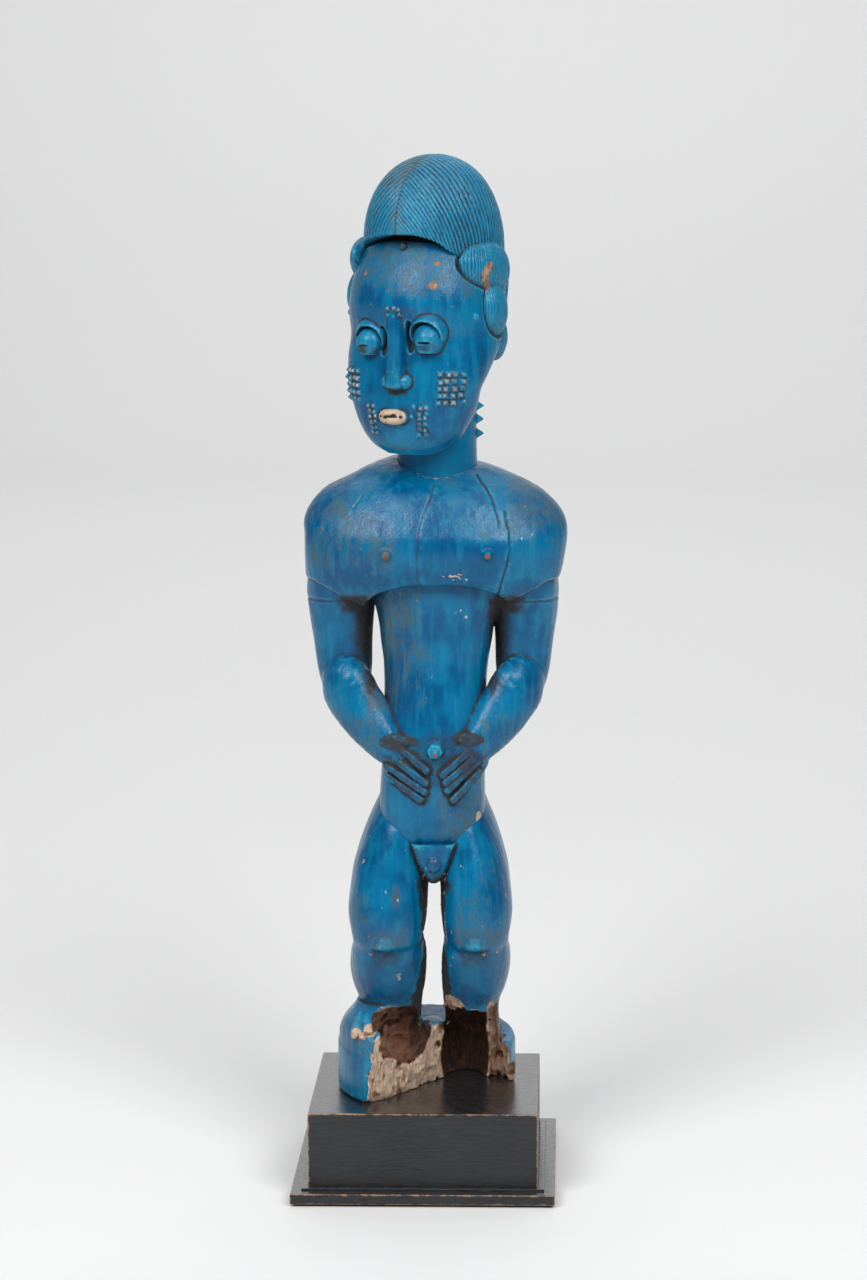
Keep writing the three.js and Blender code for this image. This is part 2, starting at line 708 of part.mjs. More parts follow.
const part = new THREE.Group();
part.add(mesh('figure', figure(), 0x0a6fb8, 0.45));
part.add(mesh('plinth_block', block(), 0x15161a, 0.4));
part.add(mesh('plinth_slab', footSlab(), 0x15161a, 0.4));

export default part;
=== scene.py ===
# A carved wooden standing figure, painted blue, on its black two-step plinth.
# Forms are told in millimetres, +Z up, as the solids are, and become metres when a mesh is made.
# A form is a field that says how far outside it a place is, less than 0 inside, and the box it lies in.

import copy
import math
from collections import namedtuple
from types import SimpleNamespace

import bpy
import numpy as np
from mathutils import Euler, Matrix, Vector


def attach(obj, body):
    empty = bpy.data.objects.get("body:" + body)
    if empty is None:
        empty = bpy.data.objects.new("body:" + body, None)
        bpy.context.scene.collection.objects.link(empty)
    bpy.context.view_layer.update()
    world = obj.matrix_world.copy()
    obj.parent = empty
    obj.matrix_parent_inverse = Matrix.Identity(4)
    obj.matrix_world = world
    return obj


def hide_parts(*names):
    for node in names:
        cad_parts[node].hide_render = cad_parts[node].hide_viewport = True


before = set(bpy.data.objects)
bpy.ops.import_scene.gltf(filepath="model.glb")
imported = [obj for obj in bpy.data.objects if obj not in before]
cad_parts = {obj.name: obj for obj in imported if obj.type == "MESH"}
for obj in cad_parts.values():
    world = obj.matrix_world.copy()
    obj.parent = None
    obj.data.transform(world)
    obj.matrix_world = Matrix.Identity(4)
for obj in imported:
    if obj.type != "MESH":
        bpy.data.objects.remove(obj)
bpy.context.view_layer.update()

MM = 0.001
# The least share of a radius that is told apart, and what a field and a gap say where nothing is near
SMALL = 1e-3
OUTSIDE = 4.0
FAR = 1e3

# Camera: where the photograph was taken from, and its picture size in pixels
PICTURE = (867, 1280)
FOCAL_PIXELS = 2946
CAMERA_PLACE = (73.8, -1511.2, 568.6)
CAMERA_TIP = -10.46
CAMERA_TURN = 0.906
AIM_COLUMN = 520

# Light: name, place, what it points at, size, all in metres, and power in watts
LIGHTS = [
    ("left_box", (-0.95, -1.45, 1.75), (0, 0, 0.3), (1, 1), 30),
    ("right_box", (0.95, -1.4, 1.7), (0, 0, 0.3), (1, 1), 28),
    ("top_box", (0, -0.3, 2.0), (0, 0, 0.3), (1.4, 1.4), 8),
    ("back_box", (0, 1.6, 3.0), (0, 3.7, 0.9), (4, 1), 68),
]
WORLD_COLOUR = (0.86, 0.87, 0.88)
WORLD_STRENGTH = 0.13

# The studio's sweep, in metres
SWEEP_FRONT = 7
SWEEP_SIDE = 7
SWEEP_START = 2.9
SWEEP_RADIUS = 1.0
SWEEP_TOP = 5
SWEEP_STEPS = 12
SWEEP_COLOUR = (0.82, 0.82, 0.82)
SWEEP_ROUGHNESS = 0.6

# Sizes of the solids
PLINTH_TOP = 48
SLAB = (138, 119, 7.2)
BLOCK = (120, 101)
# How far the block's paint is told to reach below the slab's top, so that no wear shows at its foot,
# and the height at which the wear of the slab's lower edge is told
BLOCK_SUNK = 9
SLAB_WEAR_FOOT = 1.4
DISC_RADIUS = 47.5
DISC_TOP = 76
LEG_MIDDLE = 3.6
LEG_SPREAD = 23
ARM_MIDDLE = 4.6
HAND_MIDDLE = 6.5
CHEST_EDGE = 323
ARCH_FOOT = 300
ARCH_MIDDLE = 7.75
ARCH_HALF_WIDTH = 38.5
CAP_FOOT = 309
CAP_CLIMB = 15
CAP_INNER = 32
CAP_OUTER = 60
NAVEL = (6.7, -31, 237.5)
NIPPLES = (-17.4, 34.2)
NIPPLE_HEIGHT = 340
NECK_MIDDLE = (6.5, 2)
NECK_FOOT = (7.1, 1.3)
NECK_RADIUS = 20.2
HEAD_TURN = math.radians(-25)
EYES = 452
LEFT_EYE_DROP = 2.7
NOSE = 428
MOUTH = 410.5
MOUTH_MIDDLE = -1.2
STUDS = (412, 405.2, 397.8)
BROW_MARK = 463
KNOB = 495
EYE_SPREAD = 16.2
CREST_RIM = 499
CREST_TOP = 540
CREST_HALF = (33.8, 43)
CREST_MIDDLE = (0.6, -1.5)
LOBE_RISE = 2.5

# How fine each piece is drawn
COARSE = 1.0
CELL = {"hair": 0.46, "head": 0.5, "torso": 0.68, "legs": 0.62, "whole": 2.0}
MOST_FACES = 196000
LOFT_FINENESS = 24

Form = namedtuple("Form", "field low high")


# Smooth values

def through(table, count):
    """A smooth run of rows through the rows of a table."""
    rows = np.array(table, float)
    last = len(rows) - 1
    at = np.linspace(0, last, count)
    i = np.minimum(at.astype(int), last - 1)
    w = (at - i)[:, None]
    here = rows[i]
    after = rows[i + 1]
    out = (after - rows[np.maximum(i - 1, 0)]) / 2
    back = (rows[np.minimum(i + 2, last)] - here) / 2
    rise = after - here
    return here + w * (out + w * (3 * rise - 2 * out - back + w * (out + back - 2 * rise)))


def step(low, high, value):
    """From 0 at low to 1 at high, with eased ends."""
    t = np.clip((value - low) / (high - low), 0, 1)
    return t * t * (3 - 2 * t)


def soft_min(a, b, blend):
    """The lesser of two fields, with the crease between them filled over a width."""
    if blend <= 0:
        return np.minimum(a, b)
    near = np.maximum(blend - np.abs(a - b), 0)
    return np.minimum(a, b) - near * near / (4 * blend)


def band(value, low, full, fade, high):
    """1 from full to fade and 0 outside low to high, with eased ends."""
    return step(low, full, value) * step(high, fade, value)


def mixed(a, b, share):
    return a + share * (b - a)


def most(*values):
    """The greatest of several values, point by point."""
    return np.max(np.broadcast_arrays(*values), axis=0)


# Values of the table behind the noise, where its grid starts, and what mixes the three axes into one key
NOISE_VALUES = 4096
NOISE_START = 517.3
NOISE_KEYS = np.array([73856093, 19349663, 83492791])


def corners(part):
    """Each corner of the cells that points lie in, with its weight by where in its cell a point is."""
    for corner in range(8):
        shift = np.array([corner & 1, corner >> 1 & 1, corner >> 2 & 1])
        yield shift, np.prod(np.where(shift, part, 1 - part), axis=1)


def noise(points, size, seed, stretch=(1, 1, 1)):
    """Smooth seeded noise from -1 to 1 whose lumps are about as wide as size."""
    table = np.random.default_rng(seed).uniform(-1, 1, NOISE_VALUES)
    at = points / (np.array(stretch) * size) + NOISE_START
    whole = np.floor(at).astype(np.int64)
    part = at - whole
    total = np.zeros(len(points))
    for shift, weight in corners(part * part * (3 - 2 * part)):
        key = (whole + shift) @ NOISE_KEYS
        total += weight * table[(key ^ key >> 13) & NOISE_VALUES - 1]
    return total


def layered(points, size, seed, stretch=(1, 1, 1)):
    """Noise with finer noise laid over it."""
    fine = noise(points, size / 2.3, seed + 1, stretch)
    finest = noise(points, size / 5.1, seed + 2, stretch)
    return 0.58 * noise(points, size, seed, stretch) + 0.28 * fine + 0.14 * finest


def groove(offset, width):
    """1 in the middle of a cut line, falling to 0 beside it."""
    return np.exp(-(offset / width) ** 2)


def to_head(x, y):
    """Level coordinates, told in the head's own frame, which faces -Y."""
    c, s = math.cos(HEAD_TURN), math.sin(HEAD_TURN)
    x = x - NECK_MIDDLE[0]
    return x * c + y * s, y * c - x * s


# The grid that forms are drawn on

class Block:
    """A box of space on a regular grid, holding how far outside the carving each sample is."""

    def __init__(self, low, high, cell):
        self.low = np.array(low, float)
        self.cell = cell
        counts = np.ceil((np.array(high) - self.low) / cell).astype(int) + 1
        axes = [self.low[i] + cell * np.arange(counts[i]) for i in range(3)]
        across, along = np.meshgrid(axes[0], axes[1], indexing="ij")
        self.x = across[:, :, None].astype(np.float32)
        self.y = along[:, :, None].astype(np.float32)
        self.z = axes[2][None, None, :].astype(np.float32)
        self.value = np.full(counts, OUTSIDE, np.float32)

    def on_head(self):
        """The same samples in the head's own frame."""
        view = copy.copy(self)
        view.x, view.y = to_head(self.x, self.y)
        return view

    def window(self, form, margin):
        x, y, z = self.x[..., 0], self.y[..., 0], self.z[0, 0]
        low, high = np.array(form.low) - margin, np.array(form.high) + margin
        there = (x >= low[0]) & (x <= high[0]) & (y >= low[1]) & (y <= high[1])
        lines = [np.flatnonzero(there.any(1)), np.flatnonzero(there.any(0))]
        lines.append(np.flatnonzero((z >= low[2]) & (z <= high[2])))
        if min(len(line) for line in lines) < 3:
            return None
        return tuple(slice(line[0], line[-1] + 1) for line in lines)

    def sampled(self, form, blend):
        here = self.window(form, blend + 3 * self.cell)
        if here is None:
            return None, None
        place = self.x[here[:2]], self.y[here[:2]], self.z[:, :, here[2]]
        return here, form.field(*place)

    def add(self, form, blend=0.0):
        here, field = self.sampled(form, blend)
        if here is not None:
            self.value[here] = soft_min(self.value[here], field, blend)

    def cut(self, form, blend=0.0):
        here, field = self.sampled(form, blend)
        if here is not None:
            self.value[here] = -soft_min(-self.value[here], field, blend)


def outside(offset, share):
    """How far outside a form a sample is, from its offset from the middle and its share of the radius."""
    return offset * (1 - 1 / np.maximum(share, SMALL))


def away(place, x, y, z):
    """How far samples lie from a place along each axis."""
    return x - place[0], y - place[1], z - place[2]


def dot(a, b):
    return a[0] * b[0] + a[1] * b[1] + a[2] * b[2]


def loft(table):
    """A body of level sections: [z, middle x, half width, front y, back y, exponent]."""
    rows = through(table, LOFT_FINENESS * len(table))
    level, x, half, front, back, exponent = rows.T
    level = np.maximum.accumulate(level)
    middle, depth = (front + back) / 2, (back - front) / 2

    def field(px, py, pz):
        def at(column):
            return np.interp(pz, level, column).astype(np.float32)

        dx, dy, power = np.abs(px - at(x)), np.abs(py - at(middle)), at(exponent)
        share = ((dx / at(half)) ** power + (dy / at(depth)) ** power) ** (1 / power)
        value = outside(np.hypot(dx, dy), share)
        slope = np.gradient(value, pz[0, 0, 1] - pz[0, 0, 0], axis=2)
        value /= np.sqrt(1 + np.clip(slope, -3, 3) ** 2)
        return np.maximum(value, np.maximum(level[0] - pz, pz - level[-1]))

    low = (np.min(x - half), np.min(front), level[0])
    high = (np.max(x + half), np.max(back), level[-1])
    return Form(field, low, high)


def limb(table, pieces=4):
    """A body along a bent path: [x, y, z, radius across, radius up], square to the path."""
    rows = through(table, pieces * (len(table) - 1) + 1)
    middle = rows[:, :3]
    aim = np.diff(middle, axis=0)
    length = np.linalg.norm(aim, axis=1)
    aim /= length[:, None]
    across = np.cross([0, 0, 1], aim)
    across /= np.linalg.norm(across, axis=1)[:, None]
    up = np.cross(aim, across)

    def field(x, y, z):
        best = None
        for i, t in enumerate(aim):
            d = away(middle[i], x, y, z)
            along = np.clip(dot(d, t), 0, length[i])
            d = [d[axis] - along * t[axis] for axis in range(3)]
            w = along / length[i]
            wide, tall = (rows[i, k] + w * (rows[i + 1, k] - rows[i, k]) for k in (3, 4))
            side = dot(d, across[i]) / wide
            rise = dot(d, up[i]) / tall
            ahead = dot(d, t) / np.minimum(wide, tall)
            share = np.sqrt(side * side + rise * rise + ahead * ahead)
            value = outside(np.sqrt(dot(d, d)), share)
            best = value if best is None else np.minimum(best, value)
        return best

    reach = rows[:, 3:].max(axis=1)[:, None]
    return Form(field, (middle - reach).min(axis=0), (middle + reach).max(axis=0))


def ball(middle, radii, turn=0.0, tip=0.0):
    """An ellipsoid, tipped sideways and then turned about the upright axis."""
    ct, st, cp, sp = math.cos(turn), math.sin(turn), math.cos(tip), math.sin(tip)

    def field(px, py, pz):
        d = away(middle, px, py, pz)
        x, y = d[0] * ct + d[1] * st, d[1] * ct - d[0] * st
        x, z = x * cp - d[2] * sp, x * sp + d[2] * cp
        share = np.sqrt((x / radii[0]) ** 2 + (y / radii[1]) ** 2 + (z / radii[2]) ** 2)
        return outside(np.sqrt(dot(d, d)), share)

    reach = max(radii) if turn or tip else np.array(radii)
    return Form(field, np.array(middle) - reach, np.array(middle) + reach)


def spike(middle, direction, width, height, square=True, sink=1.5):
    """A small pyramid or cone that stands on a surface and points along a direction."""
    n = np.array(direction, float)
    n /= np.linalg.norm(n)
    side = np.cross(n, [0, 0, 1])
    side /= np.linalg.norm(side)
    up = np.cross(side, n)
    slant = math.hypot(width / 2, height)
    power = 5 if square else 2

    def field(x, y, z):
        d = away(middle, x, y, z)
        r = (np.abs(dot(d, side)) ** power + np.abs(dot(d, up)) ** power) ** (1 / power)
        c = dot(d, n)
        value = (r * height + (c - height) * width / 2) / slant
        return np.maximum(value, -c - sink)

    reach = width / 2 + height
    return Form(field, np.array(middle) - reach, np.array(middle) + reach)


def mirrored(form, middle=0.0):
    low, high = np.array(form.low, float), np.array(form.high, float)
    low[0], high[0] = 2 * middle - high[0], 2 * middle - low[0]
    return Form(lambda x, y, z: form.field(2 * middle - x, y, z), low, high)


def on_side(side, form, middle=0.0):
    """A form as it is drawn for side 1, and mirrored for side -1."""
    return form if side > 0 else mirrored(form, middle)


def moved(form, shift):
    """The same form further to the right."""
    aside = np.array([shift, 0, 0])
    return Form(lambda x, y, z: form.field(x - shift, y, z), form.low + aside, form.high + aside)


# Trunk, shoulders and arms

TRUNK = [
    [184, 4.2, 19, -24, 18, 2.2],
    [188, 4.2, 25, -28.5, 21, 2.3],
    [198, 4.1, 27.2, -31.5, 24, 2.4],
    [212, 4.1, 27.4, -32.5, 25, 2.4],
    [228, 4.6, 26.8, -32, 24, 2.4],
    [245, 5.2, 26.4, -30.5, 23, 2.4],
    [262, 5.7, 26.4, -28.5, 23, 2.4],
    [279, 6.2, 27.2, -26.5, 24, 2.4],
    [290, 6.4, 28.8, -26, 25, 2.5],
    [302, 6.7, 30.6, -26.2, 27, 2.5],
    [315, 8.7, 35.4, -27, 28.5, 2.6],
    [330, 9.5, 38, -28.5, 30, 2.6],
]
YOKE = [
    [308, 3.8, 61.5, -22, 25, 2.4],
    [316, 4.2, 64, -29, 28.5, 2.5],
    [325, 5.1, 66, -34.8, 31.5, 2.6],
    [336, 6, 67.4, -38.8, 33, 2.6],
    [346, 6.5, 68, -39, 33.5, 2.5],
    [354, 6, 67.6, -36, 33, 2.4],
    [362, 5.4, 63.5, -32, 31.5, 2.3],
    [370, 4.6, 55, -27, 29, 2.2],
    [376, 4.4, 42.5, -21, 27.5, 2.1],
    [381, 2.5, 31, -16, 26.5, 2],
    [385, -1, 16, -4, 22, 2],
]
UPPER_ARM = [
    [258, -41, 9.4, -2, 16, 2.2],
    [264, -41.6, 12, -6, 21, 2.3],
    [274, -42.2, 14, -9, 23, 2.3],
    [290, -43, 15.2, -10.5, 24, 2.3],
    [306, -43.4, 17, -15, 25.5, 2.3],
    [320, -42.2, 18.6, -22, 28, 2.3],
    [338, -40, 18, -24, 24, 2.2],
]
FOREARM = [
    [-43, 10, 268.5, 8, 11],
    [-43, 2, 268.5, 10.6, 13.6],
    [-40.4, -7.5, 267.5, 11.6, 16],
    [-34.2, -13, 258, 11.4, 15],
    [-26, -17.5, 247.5, 11.6, 13.2],
    [-19, -22.5, 239, 9, 10.5],
    [-12, -26, 232, 5.5, 7.5],
    [-8, -27.5, 228.5, 3, 5],
]
PALM = [
    [-17, -23, 232, 3.2, 6.5],
    [-13, -26, 228.5, 3, 8.5],
    [-8, -28.5, 224.5, 2.6, 8.5],
]
# Middle, height, half width and tip of each thumb
THUMBS = [(-11.5, 241.5, 8, 0.1), (23.5, 243, 7, -0.1)]
# Start and end of each finger, the uppermost first
LEFT_FINGERS = [
    ((-10.7, -29, 237.9), (3.2, -33, 226.6)),
    ((-17, -28, 234.4), (2.5, -33, 220.2)),
    ((-19.1, -27, 228.7), (2, -33, 215.6)),
    ((-18.5, -26.5, 223.3), (0.1, -32.5, 211.3)),
]
RIGHT_FINGERS = [
    ((24.4, -29, 237.1), (9.8, -33, 224.3)),
    ((27.5, -28, 234.1), (11.2, -33, 220.2)),
    ((29.7, -27, 232.3), (12.5, -33, 216.1)),
    ((29.6, -26.5, 225.7), (15.1, -32.5, 210.9)),
]


def chest_arch():
    """The hollow whose upper edge is the arch of the chest over the trunk."""
    def field(x, y, z):
        across = np.abs(x - ARCH_MIDDLE) / ARCH_HALF_WIDTH
        level = np.where(z > ARCH_FOOT, (z - ARCH_FOOT) / (CHEST_EDGE - ARCH_FOOT), (ARCH_FOOT - z) / 10)
        share = (across ** 3 + level ** 3) ** (1 / 3)
        return outside(np.sqrt((x - ARCH_MIDDLE) ** 2 + (z - ARCH_FOOT) ** 2), share)

    low = (ARCH_MIDDLE - ARCH_HALF_WIDTH, -60, ARCH_FOOT - 12)
    return Form(field, low, (ARCH_MIDDLE + ARCH_HALF_WIDTH, 60, CHEST_EDGE))


def cap_edge():
    """What lies under the shoulder caps, whose edges climb from the armpits to the outer arms."""
    def field(x, y, z):
        climb = np.clip((np.abs(x - ARM_MIDDLE) - CAP_INNER) / (CAP_OUTER - CAP_INNER), 0, 1)
        return (z - CAP_FOOT - CAP_CLIMB * climb) * 0.9

    return Form(field, (-70, -60, 300), (80, 60, 328))


def finger(start, end):
    """A straight flat finger with blunt edges."""
    a, b = np.array(start, float), np.array(end, float)
    half_length = np.linalg.norm(b - a) / 2
    aim = (b - a) / (2 * half_length)
    across = np.cross(aim, (0, -1, 0))
    across /= np.linalg.norm(across)
    out = np.cross(across, aim)
    middle = (a + b) / 2
    half_width, half_depth, tip, power = 1.95, 3, 2.2, 3.5

    def field(x, y, z):
        d = away(middle, x, y, z)
        ahead = np.maximum(np.abs(dot(d, aim)) - half_length + 1.2, 0)
        sides = (np.abs(dot(d, across)) / half_width) ** power + (np.abs(dot(d, out)) / half_depth) ** power
        return ((sides + (ahead / tip) ** power) ** (1 / power) - 1) * half_width

    return Form(field, np.minimum(a, b) - 4, np.maximum(a, b) + 4)


def facets(middle, radius, low, high, sides, turn=0.0):
    """A prism with flat faces, lying along Y."""
    def field(x, y, z):
        value = np.maximum(low - y, y - high)
        for i in range(sides):
            angle = turn + 2 * math.pi * i / sides
            reach = (x - middle[0]) * math.cos(angle) + (z - middle[2]) * math.sin(angle)
            value = np.maximum(value, reach - radius)
        return value

    u, v = middle[0], middle[2]
    reach = radius * 1.3
    return Form(field, (u - reach, low, v - reach), (u + reach, high, v + reach))


def carve_torso(block):
    block.add(loft(YOKE))
    block.cut(chest_arch(), 2)
    block.cut(cap_edge(), 0.8)
    block.add(loft(TRUNK), 1)
    for side, fingers in ((1, LEFT_FINGERS), (-1, RIGHT_FINGERS)):
        block.add(on_side(side, loft(UPPER_ARM), ARM_MIDDLE), 1)
        block.add(on_side(side, limb(FOREARM), ARM_MIDDLE), 0.5)
        block.add(on_side(side, limb(PALM, 3), HAND_MIDDLE), 1.5)
        for start, end in fingers:
            block.add(finger(start, end), 0.15)
    for x, z, half_width, tip in THUMBS:
        block.add(ball((x, -27.2, z), (half_width, 3.8, 3.6), 0, tip), 0.6)
    x, y, z = NAVEL
    block.add(ball(NAVEL, (4.6, 5, 4.4)), 0.6)
    block.add(facets(NAVEL, 3.5, y - 5.2, y, 6, 0.4), 0.4)
    block.add(spike((x + 0.3, y - 4.6, z - 1), (0, -1, -0.1), 5.2, 4.4, square=False), 0.4)
    for x in NIPPLES:
        block.add(ball((x, -39.2, NIPPLE_HEIGHT), (2.8, 2.6, 2.8)), 1.6)


# Legs, hips and the round base

WEDGE = [
    [165, 5.2, 4.2, -26, 20, 3],
    [170, 5.3, 6.2, -29, 24, 4],
    [178, 5.3, 9.4, -31, 27, 6],
    [187, 5.3, 12.4, -31.8, 28, 8],
]
WEDGE_SIDES = [[(-6.9, 187), (-0.9, 170.3), (0.6, 165)], [(17.5, 187), (11.5, 170.3), (10, 165)]]
HIPS = [
    [165, LEG_MIDDLE, 8, 4, 22, 2],
    [178, LEG_MIDDLE, 24, -6, 31, 2.2],
    [194, LEG_MIDDLE, 28, -12, 33, 2.3],
    [208, LEG_MIDDLE, 26, -12, 29, 2.3],
    [220, LEG_MIDDLE, 20, -10, 22, 2.2],
]
FOOT = [
    [70, -27.5, 20.5, -44, 24, 3.2],
    [79, -27, 20.3, -43, 23, 3.2],
    [82, -26.6, 19.5, -40.5, 22.5, 3],
    [85, -26, 18.4, -36, 22, 2.8],
    [88.5, -25, 17, -31, 20.5, 2.6],
    [92, -23.5, 15.4, -25.5, 18.5, 2.5],
    [96, -22.5, 14, -18, 16, 2.4],
]
BREAK_LINE = [
    (-29, -60), (-28.4, -36), (-21, -29.5), (-13, -21), (-4, -12), (2, -3), (8, 4.5), (14, 8),
    (24, 9.5), (31.5, 8), (38, 10), (41.6, 8), (43.4, -4), (44.2, -14), (60, -18), (60, -60),
]
BREAK_TOP = 94
CHIPS = [
    ((-35.5, -35, 85.6), (3.3, 6, 3.6)),
    ((-28.2, -34, 88), (3.6, 6, 3.4)),
    ((-22.6, -31, 90.6), (2, 5, 2)),
]
# Side, girth, lean and middle of each leg
LEGS = [(1, 1, 0, LEG_MIDDLE - 0.2), (-1, 0.91, 2.6, LEG_MIDDLE + 0.6)]
# Middle, radii, turn and roughness of each hollow that insects and rot have left in the base:
# two that make the left one, two that make the right one, and small holes
HOLLOWS = [
    ((-12, -14, 80), (14.5, 15, 15), -0.6, 0.5),
    ((-17, -22, 83), (13, 14, 13), -0.7, 0.5),
    ((20.5, 5, 62), (12.3, 18, 32), 0, 0.35),
    ((20.5, -4, 82), (12, 19, 14.5), 0, 0.4),
    ((46, -14, 50), (7, 17, 13), 0, 0.3),
    ((-29, -38, 47.5), (7, 6, 2.6), 0, 0.3),
    ((5.5, 1, 69), (1.6, 6, 2.4), 0, 0.2),
    ((-14, -25, 62), (2.6, 6, 2.2), 0, 0.3),
    ((-32.3, -37, 85), (1.7, 5, 2), 0, 0.15),
]
RIM_WIDTH = 0.4
TOP_SLOPE = 0.045


def thigh(girth):
    middle = -LEG_SPREAD
    return loft([
        [127, middle, 13.6 * girth, -27, 6, 2.2],
        [131.5, middle, 17.4 * girth, -34.2, 10, 2.3],
        [137, middle, 19.2 * girth, -36, 13, 2.3],
        [147, middle, 20.8 * girth, -36, 18, 2.3],
        [158, middle + 0.6, 20.6 * girth, -34.5, 24, 2.3],
        [170, middle + 2, 20.2 * girth, -32, 29.5, 2.3],
        [182, middle + 4.4, 19.2 * girth, -29, 33.5, 2.2],
        [194, middle + 7.6, 18 * girth, -25.5, 34, 2.2],
        [205, middle + 10.6, 15.5 * girth, -20, 31, 2.1],
        [214, middle + 13, 11 * girth, -12, 26, 2],
    ])


def shank(girth, lean):
    middle = -LEG_SPREAD
    return loft([
        [72, middle + lean - 0.4, 17 * girth, -14, 25, 2.3],
        [84, middle + lean + 0.4, 16 * girth, -13.5, 22, 2.3],
        [95, middle + lean + 0.6, 16.6 * girth, -16.5, 19, 2.3],
        [104, middle + lean * 0.7, 18.8 * girth, -21.5, 24, 2.3],
        [114, middle + lean * 0.5 - 0.4, 20 * girth, -26, 26, 2.3],
        [124, middle + lean * 0.2, 19.6 * girth, -30, 21, 2.3],
        [132, middle + 0.4, 18 * girth, -31, 10, 2.3],
    ])


def disc():
    """The round base, with eased edges."""
    def field(x, y, z):
        around = np.hypot(x, y) - DISC_RADIUS
        level = np.maximum(z - DISC_TOP + 0.7 - TOP_SLOPE * y, PLINTH_TOP - z)
        return -soft_min(-around, -level, 3)

    return Form(field, (-48, -48, PLINTH_TOP), (48, 48, DISC_TOP + 2))


def within_drum(form):
    """What of a form lies inside the round base's wall."""
    def field(x, y, z):
        return -soft_min(-form.field(x, y, z), DISC_RADIUS - RIM_WIDTH - np.hypot(x, y), 3)

    return Form(field, form.low, form.high)


def gap_to_segment(x, y, a, b):
    """Distance to the straight line from a to b."""
    ex, ey = b[0] - a[0], b[1] - a[1]
    wx, wy = x - a[0], y - a[1]
    t = np.clip((wx * ex + wy * ey) / (ex * ex + ey * ey), 0, 1)
    return np.hypot(wx - t * ex, wy - t * ey)


def gap_to_outline(x, y, outline):
    """Signed distance to a closed outline, less than 0 inside it."""
    best = np.full(x.shape, FAR, np.float32)
    inside = np.zeros(x.shape, bool)
    for a, b in zip(outline, outline[1:] + outline[:1]):
        best = np.minimum(best, gap_to_segment(x, y, a, b))
        crossing = (a[1] > y) != (b[1] > y)
        climb = b[1] - a[1] or 1
        inside ^= crossing & (x < a[0] + (b[0] - a[0]) * (y - a[1]) / climb)
    return np.where(inside, -best, best)


def points_of(x, y, z):
    shape = np.broadcast_shapes(x.shape, y.shape, z.shape)
    return np.stack([np.broadcast_to(a, shape).ravel() for a in (x, y, z)], 1), shape


def worm_holes(points):
    """1 in the small holes that worms have left in the broken wood."""
    return step(0.3, 0.5, noise(points, 2.6, 47, (1, 1, 1.6))) * step(-0.3, 0.2, noise(points, 12, 48))


def crumbled(x, y, z):
    """How far the broken wood stands in or out: upright splinters, worm channels and pits."""
    points, shape = points_of(x, y, z)
    splinters = layered(points, 3.2, 31, (1, 1, 3.5))
    pits = layered(points, 4.5, 37)
    lumps = noise(points, 11, 41)
    channels = groove(noise(points, 5.5, 43, (1, 1, 2)), 0.16) * step(-0.2, 0.3, noise(points, 9, 44))
    value = 1.2 * splinters + 1.2 * pits + 1.2 * lumps + 1.5 * channels - 1.6 * worm_holes(points)
    return value.reshape(shape)


def missing():
    """The lost front right of the base, up to the legs."""
    def field(x, y, z):
        ledge = 0.18 * (z - 60)
        value = np.maximum(gap_to_outline(x, y, BREAK_LINE) + ledge, z - BREAK_TOP)
        return value + crumbled(x, y, z)

    return Form(field, (-30, -60, PLINTH_TOP - 5), (60, 20, BREAK_TOP + 4))


def rough(form, amount):
    """The same form with a broken surface."""
    return Form(lambda x, y, z: form.field(x, y, z) + amount * crumbled(x, y, z), form.low, form.high)


def eaten():
    return [rough(ball(middle, radii, turn), amount) for middle, radii, turn, amount in HOLLOWS]


def toe(n):
    return limb([
        [-33 + n * 5, -20, 91.6, 2.2, 1.8],
        [-35.5 + n * 6, -29 - n * 0.8, 87.8, 2.6, 2],
        [-36.5 + n * 6.4, -33 - n * 1.4, 84.4, 1.6, 1.6],
    ], 3)


def carve_legs(block):
    """The legs and the base, keeping the whole wood's field from before its losses."""
    block.add(loft(HIPS), 4)
    for side, girth, lean, middle in LEGS:
        block.add(moved(on_side(side, thigh(girth)), middle), 3)
        block.add(moved(on_side(side, shank(girth, lean)), middle), 2.6)
        block.add(ball((middle - side * LEG_SPREAD, -33, 135), (6, 5, 4.2)), 2)
    block.add(loft(WEDGE), 0.6)
    block.add(ball((5.6, -29.5, 176.5), (4.4, 4.4, 4.8)), 0.6)
    block.add(disc(), 0.8)
    block.add(ball((2.5, 2, 75), (9, 16, 8)), 2)
    block.add(within_drum(loft(FOOT)), 1)
    for n in range(3):
        block.add(toe(n), 0.8)
    block.whole = block.value.copy()
    block.cut(missing())
    for hollow in eaten():
        block.cut(hollow, 1)


# Head

SKULL = [
    [390.5, 0, 13, -35, -18, 2],
    [394, 0, 20, -38.5, -12, 2.1],
    [399, 0, 25.5, -40.7, -8, 2.1],
    [406, 0, 29.5, -42.3, -5, 2.2],
    [415, 0, 33.4, -43.2, -2, 2.2],
    [424, 0, 35.8, -43.2, -2, 2.2],
    [431, 0, 37.6, -42.8, 4, 2.2],
    [440, 0, 39, -42.4, 14, 2.2],
    [450, 0, 39.2, -42.6, 26, 2.2],
    [459, 0, 39.2, -45.4, 29, 2.2],
    [468, 0, 38.6, -47, 31, 2.2],
    [478, 0, 37, -45, 32, 2.2],
    [488, 0, 34.4, -40.4, 32, 2.2],
    [498, 0, 29.5, -33.5, 31, 2.2],
    [505, 0, 22, -24, 26, 2.1],
]
BACK_HAIR = [
    [438, 0, 20, 0, 22, 2.1],
    [446, 0, 26, -2, 29, 2.1],
    [459, 0, 30.5, -4, 35, 2.1],
    [474, 0, 32, -6, 38, 2.1],
    [486, 0, 31.5, -10, 38.5, 2.1],
    [497, 0, 26, -8, 34, 2.1],
]
SCAR_SEED = 7


